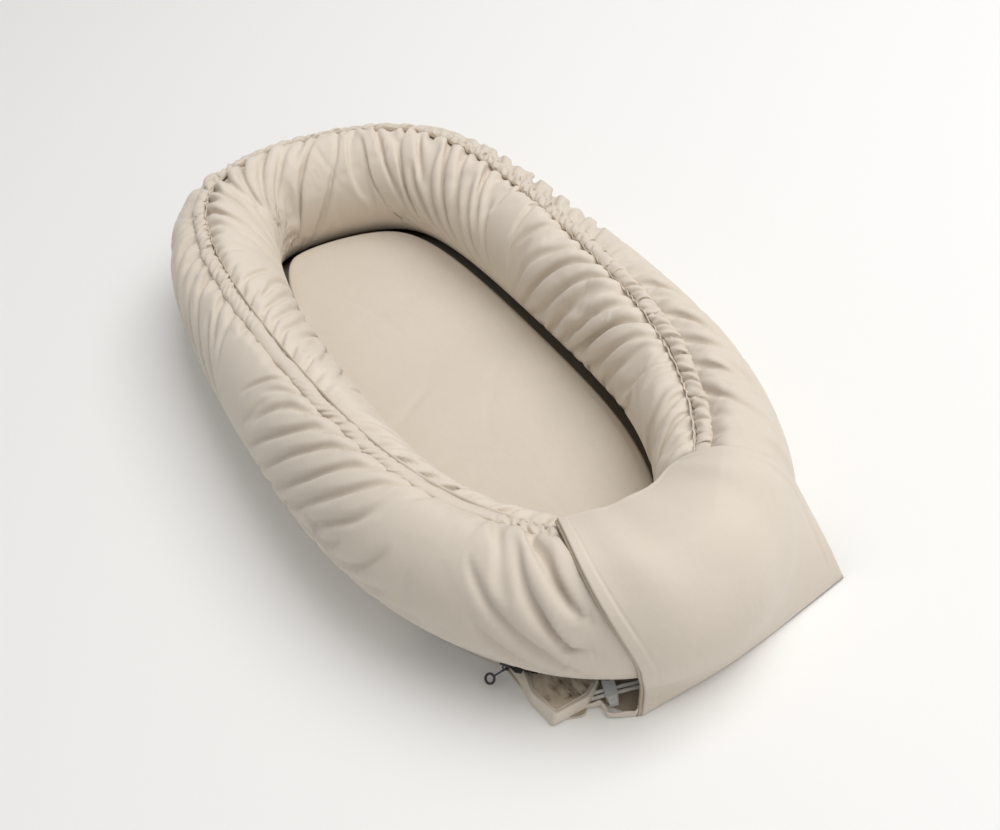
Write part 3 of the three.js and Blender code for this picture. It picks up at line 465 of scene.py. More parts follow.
# how free each point of a strip is: held at its edges, calm down there, at the left and under the flap
def coverLooseness(distance, spread, toEdge, side):
    held = (spread < cover["grooveHalf"]) | (toEdge < cover["heldEdge"])
    calm = smooth((toEdge - cover["calmFrom"][side]) / cover["calmReach"][side])
    calm = cover["calmEdge"][side] + (1 - cover["calmEdge"][side]) * calm
    signed = signedDistance(distance)
    leftFrom, fromEase = cover["leftFrom"]
    leftTo, toEase = cover["leftTo"]
    left = smooth((signed - leftFrom) / fromEase) * (1 - smooth((signed - leftTo) / toEase))
    calm = calm * (1 - cover["leftCalm"][side] * left)
    return (cover["underFlap"] + (1 - cover["underFlap"]) * freeOfFlap(distance)) * ~held * calm


def makeCoverStrip(name, side):
    columns = cover["columns"]
    rows = cover["rows"][side]
    gather = cover["gather"][side]
    along, share = gridShares(rows, columns)
    distance = along * ringLength
    lie, above, spread, toEdge = coverLie(distance, share, side)
    out = unit(above - lie)
    pleats = np.zeros_like(spread)
    for k, folds in enumerate(cover["folds"][side]):
        pleats += foldDepth(distance, spread, folds, cover["foldSeed"][side] + k)
    loose = coverLooseness(distance, spread, toEdge, side)
    settings = {**cover, "foldWidth": cover["foldWidth"][side], "levels": cover["levels"][side]}
    settled = settleStrip(lie, out, loose, -out * pleats[..., None], gather, side, cover["seed"], settings)
    fineDistance = gridShares(rows, 2 * columns)[0] * ringLength
    fineSpread = doubled(spread[..., None])[..., 0]
    creases = np.zeros_like(fineSpread)
    for k, folds in enumerate(cover["puckers"]):
        creases += foldDepth(fineDistance, fineSpread, folds, cover["puckerSeed"][side] + k)
    fine = doubled(settled) - doubled(out) * doubled(loose[..., None]) * creases[..., None]

    def place(u, v):
        column = np.round(u * 2 * columns).astype(int) % (2 * columns)
        return fine[np.round(v * rows).astype(int), column]

    piece = clothGrid(name, 2 * columns, rows, place, (ringLength * gather[0], cover["width"]))
    thicken(piece, cover["cloth"])
    return piece


coverOutside = makeCoverStrip("coverOutside", 1)
coverInside = makeCoverStrip("coverInside", -1)
print("gathered cover settled")

# the ruffled channel along the top, gathered on the cord, with its seam lip on the inner side
casing = {
    "columns": 1408,
    "rows": 14,
    "underRows": 6,
    "around": 0.034,
    "from": 0.085,
    "to": 0.070,
    "halfWidth": 0.0082,
    "rise": 0.0030,
    "riseAtHead": 0.0028,
    "below": 0.0032,
    "tuck": 0.0020,
    "gather": (1.42, 1.42),
    "foldWidth": 0.0150,
    "foldVariety": 0.7,
    "slack": 1.06,
    "levels": [(2, 130, 0.008), (1, 80, 0.04)],
    "ridge": 0.0026,
    "sharpness": 0.55,
    "swell": 0.00001,
    "skew": 0.8,
    "noise": 0.0006,
    "deepest": -0.0026,
    "proudest": 0.0044,
    "sideways": 0.0030,
    "flatFrom": (0.13, 0.06),
    "flatTo": (0.62, 0.12),
    "flatness": 0.86,
    "bunch": 0.50,
    "bunchRates": (21, 47),
    "bunchDrift": 0.7,
    "wander": [(0.0009, 63, 0, 0), (0.0006, 148, 0, 1)],
    "outward": (1.08, 0.001, 0.25),
    "pinchReach": 0.016,
    "edgeHold": 9,
    "pinchSeed": 91,
    "seed": 17,
    "pinches": foldKind((0.007, 0.026), (0.02, 0.03), (0.001, 0.0042), (0.0012, 0.0028),
                        (-0.01, -0.008), 0.5, 0.3, 0.4),
}


# the channel lies flatter along the left side than at the head and the right
def casingPucker(distance):
    signed = signedDistance(distance)
    flatFrom, fromEase = casing["flatFrom"]
    flatTo, toEase = casing["flatTo"]
    calm = smooth((signed - flatFrom) / fromEase) * (1 - smooth((signed - flatTo) / toEase))
    slow, quick = casing["bunchRates"]
    bunches = 0.5 + 0.5 * np.sin(distance * slow + casing["bunchDrift"] * np.sin(distance * quick))
    return 1 - calm * (casing["flatness"] - casing["bunch"] * bunches ** 4)


def casingPoint(distance, across, height):
    place = station(distance)
    size = (place["halfWidth"] + place["halfHeight"]) / 2
    return skinPoint(distance, place["ridge"] + np.degrees(across / size), height)


def makeCasing():
    along, share = gridShares(casing["rows"], casing["columns"])
    distance = along * ringLength
    turn = math.pi * (1 - share)
    rise = casing["rise"] + casing["riseAtHead"] * station(distance)["headShare"]
    reach = casing["halfWidth"] * np.cos(turn) + waves(distance, 0.0, casing["wander"])
    height = rise * np.sin(turn) - casing["tuck"]
    lie = casingPoint(distance, reach, height)
    wider, higher, least = casing["outward"]
    out = unit(casingPoint(distance, reach * wider, height + higher * (least + np.sin(turn))) - lie)
    pinches = foldDepth(distance, share * casing["pinchReach"], casing["pinches"], casing["pinchSeed"])
    loose = casingPucker(distance) * smooth(np.minimum(share, 1 - share) * casing["edgeHold"])
    start = -out * pinches[..., None]
    settled = settleStrip(lie, out, loose, start, casing["gather"], 1, casing["seed"], casing)
    columns = casing["columns"]
    first = int(casing["from"] / ringLength * columns)
    last = int((1 - casing["to"] / ringLength) * columns)
    rows = casing["rows"] + casing["underRows"]

    def place(u, v):
        column = first + np.round(u * (last - first)).astype(int)
        row = np.round(v * rows).astype(int)
        top = settled[np.clip(row, 0, casing["rows"]), column]
        back = np.clip((row - casing["rows"]) / casing["underRows"], 0, 1)
        drop = casing["tuck"] + casing["below"] * np.sin(math.pi * back)
        low = casingPoint(column / columns * ringLength, casing["halfWidth"] * (1 - 2 * back), -drop)
        ends = (back == 0) | (back == 1)
        edge = np.where((back == 1)[:, None], settled[0, column], top)
        return np.where(ends[:, None], edge, low)

    flatSize = (ringLength * casing["gather"][0], casing["around"])
    return clothGrid("ruffledCasing", last - first, rows, place, flatSize)


ruffledCasing = makeCasing()

lip = {
    "columns": 1600,
    "rows": 8,
    "width": 0.01,
    "thick": 0.0015,
    "beside": 0.0010,
    "foot": -0.0022,
    "stand": 0.0034,
    "standAtHead": 0.0014,
    "rooted": 0.0012,
    "lean": 0.0008,
    "wave": 0.0008,
    "waveRates": (410, 90),
    "waveDrift": 2.5,
}


# the seam allowance stands as a thin wavy lip along the casing's inner side
def lipPlace(u, v):
    distance = casing["from"] + u * (ringLength - casing["from"] - casing["to"])
    turn = 2 * math.pi * v
    quick, slow = lip["waveRates"]
    wave = np.sin(distance * quick + lip["waveDrift"] * np.sin(distance * slow)) * casingPucker(distance)
    stand = lip["stand"] + lip["standAtHead"] * station(distance)["headShare"] + lip["wave"] * wave
    up = 0.5 - 0.5 * np.cos(turn)
    side = -casing["halfWidth"] - lip["beside"] + lip["wave"] * wave
    across = side - 0.5 * lip["thick"] * np.sin(turn) - lip["lean"] * up
    return casingPoint(distance, across, lip["foot"] + (stand + lip["rooted"]) * up)


lipSize = (ringLength * casing["gather"][0], lip["width"])
seamLip = clothGrid("seamLip", lip["columns"], lip["rows"], lipPlace, lipSize)
print("casing made")

# the mattress pad: rows from the middle of its top over the shoulder and the side to its middle below
pad = {
    "around": 256,
    "topRows": 40,
    "shoulderRows": 8,
    "sideRows": 8,
    "underRows": 10,
    "flatSize": (1.6, 0.24),
    "clear": 0.0060,
    "bottom": 0.0045,
    "top": 0.0326,
    "crown": 0.0030,
    "crownPower": 2.4,
    "shoulder": 0.008,
    "shoulderDrop": 0.8,
    "belly": 0.0012,
    "rumples": [(0.0007, 21, 9, 1.0), (0.0006, -31, 13, 0.0), (0.0005, 11, 47, 2.0), (0.0004, 38, -24, 0.0)],
    "rumpleEase": 0.04,
    "wrinkles": 46,
    "wrinkleSeed": 91,
    "wrinkleReach": (0.1, 0.31),
    "wrinkleTurn": (0.1, 0.6),
    "wrinkleLong": (0.02, 0.07),
    "wrinkleWide": (0.0025, 0.006),
    "wrinkleDeep": (0.0002, 0.0009),
    "wrinkleBow": 3.0,
}
padRows = pad["topRows"] + pad["shoulderRows"] + pad["sideRows"] + pad["underRows"]


def padOutline(u):
    place = station(u * ringLength)
    reach = place["halfWidth"] + pad["clear"]
    return place["x"] - place["outX"] * reach, place["y"] - place["outY"] * reach


padOutlineX, padOutlineY = padOutline(np.linspace(0, 1, ring["steps"] // 2 + 1))
padMiddle = ((padOutlineX.max() + padOutlineX.min()) / 2, (padOutlineY.max() + padOutlineY.min()) / 2)


def padPlace(u, v):
    edgeX, edgeY = padOutline(u)
    row = v * padRows
    top = np.clip(row / pad["topRows"], 0, 1)
    row = row - pad["topRows"]
    bend = np.clip(row / pad["shoulderRows"], 0, 1) * math.pi / 2
    side = np.clip((row - pad["shoulderRows"]) / pad["sideRows"], 0, 1)
    under = np.clip((row - pad["shoulderRows"] - pad["sideRows"]) / pad["underRows"], 0, 1)
    inset = pad["shoulder"] * (1 - np.sin(bend)) - pad["belly"] * np.sin(math.pi * side)
    size = np.hypot(edgeX - padMiddle[0], edgeY - padMiddle[1])
    share = top * (1 - under) * (1 - inset / size)
    share = np.where(v * padRows >= padRows, 0.0, share)
    x = padMiddle[0] + (edgeX - padMiddle[0]) * share
    y = padMiddle[1] + (edgeY - padMiddle[1]) * share
    drop = pad["shoulder"] * pad["shoulderDrop"]
    z = pad["top"] + pad["crown"] * (1 - top ** pad["crownPower"]) - drop * (1 - np.cos(bend))
    z = z + (pad["bottom"] - (pad["top"] - drop)) * side
    relief = waves(x, y, pad["rumples"]) - padWrinkles(x, y)
    z = z + np.where(row <= 1, relief * smooth((1 - top) / pad["rumpleEase"]), 0.0)
    return np.stack([x, y, z], axis=-1)


def padWrinkles(x, y):
    dice = np.random.default_rng(pad["wrinkleSeed"])
    depth = np.zeros_like(x)
    across, along = pad["wrinkleReach"]
    for k in range(pad["wrinkles"]):
        fromX = x - dice.uniform(-across, across)
        fromY = y - dice.uniform(-along, along)
        turn = dice.normal(*pad["wrinkleTurn"])
        long = dice.uniform(*pad["wrinkleLong"])
        wide = dice.uniform(*pad["wrinkleWide"])
        deep = dice.uniform(*pad["wrinkleDeep"])
        onward = fromX * math.cos(turn) + fromY * math.sin(turn)
        beside = fromY * math.cos(turn) - fromX * math.sin(turn)
        beside = beside - pad["wrinkleBow"] * onward * onward * dice.normal(0, 1)
        depth += deep * bell(onward / long) * bell(beside / wide)
    return depth


padTop = clothGrid("padTop", pad["around"], padRows, padPlace, pad["flatSize"])
print("pad made")

# the foot flap: two cloths from the fold on the floor up over the foot;
# a hump is its middle and width as shares of the flap's width, and its height
flap = {
    "columns": 150,
    "rows": 130,
    "flatSize": (0.19, 0.52),
    "leftLow": 0.052,
    "leftHigh": 0.119,
    "spreadFrom": 0.2,
    "spread": 1.55,
    "bridge": 0.6,
    "bridgeFrom": 0.68,
    "ease": 0.05,
    "easeReach": (0.2, 0.08),
    "footBulge": 0.0045,
    "right": 0.095,
    "foldReach": 0.0374,
    "foldLeft": 0.0878,
    "foldRight": 0.1382,
    "foldHeight": 0.0003,
    "lowShare": 0.14,
    "hang": 0.0035,
    "hangAtLeft": 0.35,
    "lowAngle": 125.0,
    "lowRightAngle": 76.0,
    "topAngle": -34.0,
    "tautFrom": 0.3,
    "off": 0.0084,
    "humps": [(0.22, 0.10, 0.0050), (0.50, 0.13, 0.0042), (0.86, 0.09, 0.0064)],
    "humpAngle": 62.0,
    "ripples": [(0.0012, 7, 3, 0), (0.0007, 19, -8, 1)],
    "rippleFrom": 4,
    "crease": (0.62, 0.3, 0.05, 0.0012),
    "thick": 0.0011,
    "gap": 0.0004,
    "edgeScale": (0.19, 0.26),
    "edgeRim": 0.0005,
    "hem": 0.011,
    "hemRise": 0.0006,
    "hemEase": 0.0015,
    "stitchDeep": 0.0004,
    "stitchWide": 0.001,
    "liningProud": 0.014,
    "liningDrop": 0.0016,
    "liningEdge": (0.06, 0.1),
}
footMiddle = station(np.array([0.0]))
foldY = float(footMiddle["y"][0]) - flap["foldReach"]
foldLeft = float(footMiddle["x"][0]) - flap["foldLeft"]
foldRight = float(footMiddle["x"][0]) + flap["foldRight"]


# the flap's lie on the tube, with its top edge spanning the foot's hollow
def flapSkin(share, rise, layer):
    taut = smooth((share - flap["tautFrom"]) / (1 - flap["tautFrom"]))
    angle = mixed(mixed(flap["lowAngle"], flap["lowRightAngle"], taut), flap["topAngle"], rise)
    spread = np.clip((rise - flap["spreadFrom"]) / (1 - flap["spreadFrom"]), 0, 1) ** flap["spread"]
    left = mixed(flap["leftLow"], flap["leftHigh"], spread)
    distance = mixed(left, -flap["right"], share)
    rising = smooth((flap["humpAngle"] - angle) / flap["humpAngle"])
    hump = np.zeros_like(share)
    for middle, wide, tall in flap["humps"]:
        hump += tall * bell((share - middle) / wide)
    start, drift, wide, tall = flap["crease"]
    soft = waves(share, rise, flap["ripples"]) + tall * bell((share - start - drift * rise) / wide) * rise
    off = flap["off"] + hump * rising + soft * smooth(rise * flap["rippleFrom"]) + layer
    spots = skinPoint(distance, angle, off)
    leftCorner = skinPoint(np.array([flap["leftHigh"]]), flap["topAngle"], flap["off"])
    rightCorner = skinPoint(np.array([-flap["right"]]), flap["topAngle"], flap["off"])
    straight = leftCorner + (rightCorner - leftCorner) * share[:, None]
    straight[:, 2] += np.broadcast_to(layer, share.shape)
    bridge = flap["bridge"] * smooth((rise - flap["bridgeFrom"]) / (1 - flap["bridgeFrom"]))
    return spots + (straight - spots) * bridge[:, None]


# along runs from the fold on the floor, over the lowest row on the tube, to the top edge
def flapRun(share, along, layer):
    low = flapSkin(share, np.zeros_like(share), layer)
    foldX = mixed(foldLeft, foldRight, share)
    bulge = flap["footBulge"] * np.sin(math.pi * np.clip(share, 0, 1))
    fold = np.stack([foldX, foldY - bulge, np.full_like(share, flap["foldHeight"])], axis=-1)
    rise = unit(low - fold)
    out = np.array([0.0, -1.0, 0.0]) + rise * rise[:, 1:2]
    out[:, 0] = 0
    out = unit(out)
    fold[:, 2] += np.maximum(0, -out[:, 2]) * (2 * flap["thick"] + flap["gap"])
    fold = fold + out * np.broadcast_to(layer, share.shape)[:, None]
    below = np.clip(along / flap["lowShare"], 0, 1)
    above = np.clip((along - flap["lowShare"]) / (1 - flap["lowShare"]), 0, 1)
    apron = fold + (low - fold) * below[:, None]
    hang = flap["hang"] * np.sin(math.pi * below) * (flap["hangAtLeft"] + share)
    apron = apron + out * hang[:, None]
    return np.where(along[:, None] < flap["lowShare"], apron, flapSkin(share, above, layer))


# places along a line are averaged over these beats, which eases its corners
beats = (-1.0, -0.5, 0.0, 0.5, 1.0)


# the crease where the cloth meets the tube is eased over a short stretch
def flapFace(share, along, layer):
    reach, foldReach = flap["easeReach"]
    taper = np.clip(1 - np.abs(along - flap["lowShare"]) / reach, 0, 1) * np.clip(along / foldReach, 0, 1)
    total = 0
    for beat in beats:
        total = total + flapRun(share, np.clip(along + beat * flap["ease"] * taper, 0, 1), layer)
    return total / len(beats)


# one closed cloth of the flap, out over its face and back below it, with a stitched hem
def flapPlace(layer, lining):
    def place(u, v):
        outer = v < 0.5
        along = np.clip(np.where(outer, 2 * v, 2 * (1 - v)), 0, 1)
        wide, long = flap["edgeScale"]
        edge = np.minimum(np.minimum(u, 1 - u) * wide, np.minimum(along, 1 - along) * long)
        inside = np.where(edge < flap["edgeRim"], 0.0, 1.0)
        hem = flap["hemRise"] * smooth((flap["hem"] - edge) / flap["hemEase"])
        hem = hem - flap["stitchDeep"] * bell((edge - flap["hem"]) / flap["stitchWide"])
        level = layer + np.where(outer, flap["thick"] + hem, 0.0) * inside
        share = u
        if lining:
            share = u * (1 + flap["liningProud"]) - flap["liningProud"]
            side, foot = flap["liningEdge"]
            level = level - flap["liningDrop"] * smooth((side - u) / side) * smooth(along / foot)
        return flapFace(share, along, level)
    return place


def makeFlapCloth(name, layer, lining):
    return clothGrid(name, flap["columns"], 2 * flap["rows"], flapPlace(layer, lining), flap["flatSize"])


flapFaceCloth = makeFlapCloth("flapFaceCloth", flap["thick"] + flap["gap"], False)
flapLiningCloth = makeFlapCloth("flapLiningCloth", 0.0, True)
print("flap made")


# a copy of a solid, welded, for the cloth that hardly shows; sink draws it in under its cover
def softCopy(node, name, sink=0.0, cuts=0):
    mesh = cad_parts[node].data.copy()
    mesh.name = name
    shape = bmesh.new()
    shape.from_mesh(mesh)
    bmesh.ops.remove_doubles(shape, verts=shape.verts, dist=weldDistance)
    bmesh.ops.recalc_face_normals(shape, faces=shape.faces)
    if cuts:
        bmesh.ops.subdivide_edges(shape, edges=shape.edges, cuts=cuts, smooth=0.5, use_grid_fill=True)
    if sink:
        shape.normal_update()
        moves = [vertex.normal * sink for vertex in shape.verts]
        for vertex, move in zip(shape.verts, moves):
            vertex.co -= move
    mesh.materials.clear()
    return finishPiece(name, shape, mesh)


# the loose corner stands up as a pocket: its rim, the foot of its wall and its inner side;
# here and in the next pieces a grid is its columns and its rows
pocket = {
    "rim": [(-0.133, -0.332, 0.009), (-0.141, -0.361, 0.015), (-0.137, -0.394, 0.017),
            (-0.104, -0.395, 0.014), (-0.087, -0.385, 0.012)],
    "foot": [(-0.140, -0.313, 0.0006), (-0.144, -0.358, 0.0006), (-0.142, -0.391, 0.0006),
             (-0.106, -0.396, 0.0006), (-0.085, -0.383, 0.0006)],
    "inside": [(-0.126, -0.318, 0.009), (-0.116, -0.333, 0.010), (-0.106, -0.348, 0.010),
               (-0.096, -0.363, 0.010), (-0.085, -0.378, 0.009)],
    "wallGrid": (150, 30),
    "wallSize": (0.10, 0.024),
    "insideGrid": (150, 26),
    "insideSize": (0.10, 0.05),
    "insideEase": 0.4,
    "ease": 0.02,
    "cloth": 0.0011,
    "sag": 0.0030,
    "tucked": 0.0008,
    "ripples": [(0.0009, 17, 5, 0), (0.0006, 41, -9, 1)],
    "wallShare": 0.7,
    "bulge": 0.0020,
    "bulgeRate": 23,
    "rimRoll": 0.0009,
    "rollFrom": 0.6,
    "hem": 0.0060,
    "stitch": 0.0048,
    "stitchDeep": 0.0006,
}
zigzag = {
    "line": [(-0.118, -0.394, 0.002), (-0.108, -0.395, 0.006), (-0.097, -0.401, 0.010),
             (-0.098, -0.414, 0.008), (-0.089, -0.421, 0.007), (-0.079, -0.427, 0.007),
             (-0.074, -0.425, 0.008)],
    "grid": (160, 16),
    "flatSize": (0.09, 0.02),
    "ease": 0.012,
    "probe": 0.01,
    "halfThick": 0.0009,
    "lift": 0.0008,
    "lean": 0.12,
    "leanRate": 19,
}
looseTape = {
    "near": [(-0.141, -0.319, 0.009), (-0.126, -0.329, 0.011)],
    "far": [(-0.140, -0.330, 0.008), (-0.133, -0.340, 0.010)],
    "grid": (20, 8),
    "flatSize": (0.018, 0.013),
    "crown": 0.0012,
    "cloth": 0.0008,
}


# a point on a path through a few places, with its corners eased
def alongPath(points, share, ease):
    points = np.array(points)
    stops = np.linspace(0, 1, len(points))
    total = np.zeros((len(share), 3))
    for beat in beats:
        at = np.clip(share + beat * ease, 0, 1)
        for axis in range(3):
            total[:, axis] += np.interp(at, stops, points[:, axis])
    return total / len(beats)


# the brownish inner side, with patches of painted shade, from under the tube to the rim
def pocketInsidePlace(u, v):
    rim = alongPath(pocket["rim"], u, pocket["ease"])
    inner = alongPath(pocket["inside"], u, pocket["ease"])
    share = mixed(v, smooth(v), pocket["insideEase"])
    spots = inner + (rim - inner) * share[:, None]
    ripple = waves(u, v, pocket["ripples"])
    spots[:, 2] += (ripple - pocket["sag"]) * np.sin(math.pi * v) - pocket["tucked"]
    return spots


# the pale outer wall, from the floor over the rim and a hem's width back down inside
def pocketWallPlace(u, v):
    rim = alongPath(pocket["rim"], u, pocket["ease"])
    foot = alongPath(pocket["foot"], u, pocket["ease"])
    inner = alongPath(pocket["inside"], u, pocket["ease"])
    up = np.clip(v / pocket["wallShare"], 0, 1)
    back = np.clip((v - pocket["wallShare"]) / (1 - pocket["wallShare"]), 0, 1)
    spots = foot + (rim - foot) * up[:, None]
    outward = foot - inner
    outward[:, 2] = 0
    wave = 0.5 + 0.5 * np.sin(pocket["bulgeRate"] * u + 1)
    spots += unit(outward) * (pocket["bulge"] * np.sin(math.pi * up) * wave)[:, None]
    spots += unit(inner - rim) * (pocket["hem"] * back)[:, None]
    rolling = np.clip((v - pocket["rollFrom"]) / (1 - pocket["wallShare"]), 0, 1)
    stitched = bell((back * pocket["hem"] - pocket["stitch"]) / pocket["stitchDeep"]) * (back > 0)
    spots[:, 2] += pocket["rimRoll"] * np.sin(math.pi * rolling) - pocket["stitchDeep"] * stitched
    return spots


# the hem beside the pocket stands on the floor in a zigzag, up to the flap's left edge
def zigzagPlace(u, v):
    top = alongPath(zigzag["line"], u, zigzag["ease"])
    turn = 2 * math.pi * v
    tall = top[:, 2] * (0.5 - 0.5 * np.cos(turn))
    ahead = alongPath(zigzag["line"], np.clip(u + zigzag["probe"], 0, 1), zigzag["ease"])
    back = alongPath(zigzag["line"], np.clip(u - zigzag["probe"], 0, 1), zigzag["ease"])
    way = ahead - back
    side = unit(np.stack([-way[:, 1], way[:, 0], np.zeros_like(u)], axis=-1))
    spread = zigzag["halfThick"] * np.sign(np.sin(turn)) * np.sqrt(np.abs(np.sin(turn)))
    lean = zigzag["lean"] * tall * np.sin(zigzag["leanRate"] * u)
    spots = top + side * (spread + lean)[:, None]
    spots[:, 2] = zigzag["lift"] + tall
    return spots


# a bit of the opened tape that shows beside the slider
def looseTapePlace(u, v):
    near = alongPath(looseTape["near"], u, 0.0)
    far = alongPath(looseTape["far"], u, 0.0)
    spots = near + (far - near) * v[:, None]
    spots[:, 2] += looseTape["crown"] * np.sin(math.pi * v) * np.sin(math.pi * u)
    return spots


pocketInside = clothGrid("pocketInside", *pocket["insideGrid"], pocketInsidePlace, pocket["insideSize"])
pocketWall = clothGrid("pocketWall", *pocket["wallGrid"], pocketWallPlace, pocket["wallSize"])
zigzagHem = clothGrid("zigzagHem", *zigzag["grid"], zigzagPlace, zigzag["flatSize"])
loosenedTape = clothGrid("loosenedTape", *looseTape["grid"], looseTapePlace, looseTape["flatSize"])
thicken(pocketInside, pocket["cloth"])
thicken(pocketWall, pocket["cloth"])
thicken(loosenedTape, looseTape["cloth"])

# where the base's edge is drawn in beside the pocket, and the cuts that let it bend there
notch = {
    "x": -0.0995,
    "wide": 0.0095,
    "deep": 0.020,
    "reach": 0.030,
    "edgeFrom": (-0.142, -0.385),
    "edgeSlope": -0.65,
    "cutStep": 0.004,
    "cutFrom": (-0.128, -0.43),
    "cutTo": (-0.075, -0.38),
}


def drawNotch(piece):
    shape = bmesh.new()
    shape.from_mesh(piece.data)
    for axis in (0, 1):
        place = notch["cutFrom"][axis]
        while place < notch["cutTo"][axis]:
            at = [0.0, 0.0, 0.0]
            way = [0.0, 0.0, 0.0]
            at[axis] = place
            way[axis] = 1.0
            everything = shape.verts[:] + shape.edges[:] + shape.faces[:]
            bmesh.ops.bisect_plane(shape, geom=everything, plane_co=at, plane_no=way, dist=weldDistance)
            place += notch["cutStep"]
    for vertex in shape.verts:
        across = (vertex.co.x - notch["x"]) / notch["wide"]
        edge = notch["edgeFrom"][1] + (vertex.co.x - notch["edgeFrom"][0]) * notch["edgeSlope"]
        near = float(smooth(1 - (vertex.co.y - edge) / notch["reach"]))
        vertex.co.y += notch["deep"] * math.exp(-across * across) * near
    bmesh.ops.triangulate(shape, faces=[face for face in shape.faces if len(face.verts) > 4])
    shape.to_mesh(piece.data)
    shape.free()


# the band of base cloth, from under the cover's lower edge down to the base's rim on the floor
band = {
    "columns": 420,
    "rows": 8,
    "from": 0.150,
    "to": 0.102,
    "topAngle": 127.6,
    "zipAngle": 143.5,
    "zipEnd": 0.245,
    "zipEase": 0.016,
    "tuck": -0.0012,
    "rimReach": 0.0364,
    "rimHeight": 0.0009,
    "bulge": 0.0014,
    "cloth": 0.0010,
    "length": 1.80,
    "width": 0.0285,
}


def bandPlace(u, v):
    distance = band["from"] + u * (ringLength - band["from"] - band["to"])
    past = smooth((distance - band["zipEnd"]) / band["zipEase"])
    top = skinPoint(distance, mixed(band["zipAngle"], band["topAngle"], past), band["tuck"])
    place = station(distance)
    x = place["x"] + place["outX"] * band["rimReach"]
    y = place["y"] + place["outY"] * band["rimReach"]
    rim = np.stack([x, y, np.full_like(x, band["rimHeight"])], axis=-1)
    spots = top + (rim - top) * v[:, None]
    spots[:, 0] += place["outX"] * band["bulge"] * np.sin(math.pi * v)
    spots[:, 1] += place["outY"] * band["bulge"] * np.sin(math.pi * v)
    return spots


# how far the stuffing and the pad's filling draw in under their covers
sinks = {"tube": 0.0102, "pad": 0.0032}

stuffedTube = softCopy("bolster_insert", "stuffedTube", sink=sinks["tube"])
padFilling = softCopy("mattress_core", "padFilling", sink=sinks["pad"])
padUnderside = softCopy("mattress_cover_bottom", "padUnderside")
baseSheet = softCopy("base_bottom_panel", "baseSheet")
baseLiningSheet = softCopy("base_lining", "baseLiningSheet")
drawNotch(baseSheet)
drawNotch(baseLiningSheet)
baseBand = clothGrid("baseBand", band["columns"], band["rows"], bandPlace, (band["length"], band["width"]))
thicken(baseBand, band["cloth"])
ringFloor = softCopy("platform_panel", "ringFloor")
tapeCover = softCopy("zip_tape_cover_side", "tapeCover")
tapeBase = softCopy("zip_tape_base_side", "tapeBase")
cordLine = softCopy("drawcord", "cordLine", cuts=1)
print("base and small cloths made")


# a new node in a tree; its inputs hold plain values or the sockets that feed them
def addNode(tree, kind, inputs, **settings):
    node = tree.nodes.new("ShaderNode" + kind)
    for name, value in settings.items():
        setattr(node, name, value)
    for socket, value in inputs.items():
        if isinstance(value, bpy.types.NodeSocket):
            tree.links.new(value, node.inputs[socket])
        else:
            node.inputs[socket].default_value = value
    return node


# an effect that several materials share, with its named inputs and outputs, all plain numbers
def newGroup(name, inputs, outputs):
    group = bpy.data.node_groups.new(name, "ShaderNodeTree")
    group.interface.new_socket("Vector", in_out="INPUT", socket_type="NodeSocketVector")
    for label, value in inputs.items():
        socket = group.interface.new_socket(label, in_out="INPUT", socket_type="NodeSocketFloat")
        socket.default_value = value
    for label in outputs:
        group.interface.new_socket(label, in_out="OUTPUT", socket_type="NodeSocketFloat")
    return group, group.nodes.new("NodeGroupInput"), group.nodes.new("NodeGroupOutput")


weave = {
    "threads": 900.0,
    "slub": 0.3,
    "slubStretch": (420.0, 60.0, 420.0),
    "slubDetail": 3.0,
    "height": 0.0002,
}
mottle = {
    "scale": 14.0,
    "detail": 4.0,
    "creaseScale": 95.0,
    "creaseDetail": 5.0,
    "creaseDistortion": 0.6,
    "creaseHeight": 0.002,
}


# warp and weft, with a few thicker threads
def makeWeaveGroup():
    inputs = {"Threads": weave["threads"], "Slub": weave["slub"]}
    group, start, end = newGroup("sateenWeave", inputs, ["Height", "Shade"])
    vector = start.outputs["Vector"]
    scaled = addNode(group, "VectorMath", {0: vector, "Scale": start.outputs["Threads"]}, operation="SCALE")
    apart = addNode(group, "SeparateXYZ", {0: scaled.outputs[0]})
    warp = addNode(group, "Math", {0: apart.outputs["X"]}, operation="SINE")
    weft = addNode(group, "Math", {0: apart.outputs["Y"]}, operation="SINE")
    crossing = addNode(group, "Math", {0: warp.outputs[0], 1: weft.outputs[0]}, operation="MULTIPLY")
    stretch = addNode(group, "VectorMath", {0: vector, 1: weave["slubStretch"]}, operation="MULTIPLY")
    noise = {"Vector": stretch.outputs[0], "Scale": 1.0, "Detail": weave["slubDetail"]}
    slub = addNode(group, "TexNoise", noise)
    raised = {0: slub.outputs["Fac"], 1: start.outputs["Slub"], 2: crossing.outputs[0]}
    height = addNode(group, "Math", raised, operation="MULTIPLY_ADD")
    group.links.new(height.outputs[0], end.inputs["Height"])
    group.links.new(slub.outputs["Fac"], end.inputs["Shade"])
    return group


# large soft patches of tone, and small creases
def makeMottleGroup():
    group, start, end = newGroup("clothMottle", {"Scale": mottle["scale"]}, ["Value", "Creases"])
    vector = start.outputs["Vector"]
    large = {"Vector": vector, "Scale": start.outputs["Scale"], "Detail": mottle["detail"]}
    small = {"Vector": vector, "Scale": mottle["creaseScale"], "Detail": mottle["creaseDetail"]}
    small["Distortion"] = mottle["creaseDistortion"]
    group.links.new(addNode(group, "TexNoise", large).outputs["Fac"], end.inputs["Value"])
    group.links.new(addNode(group, "TexNoise", small).outputs["Fac"], end.inputs["Creases"])
    return group


weaveGroup = makeWeaveGroup()
mottleGroup = makeMottleGroup()


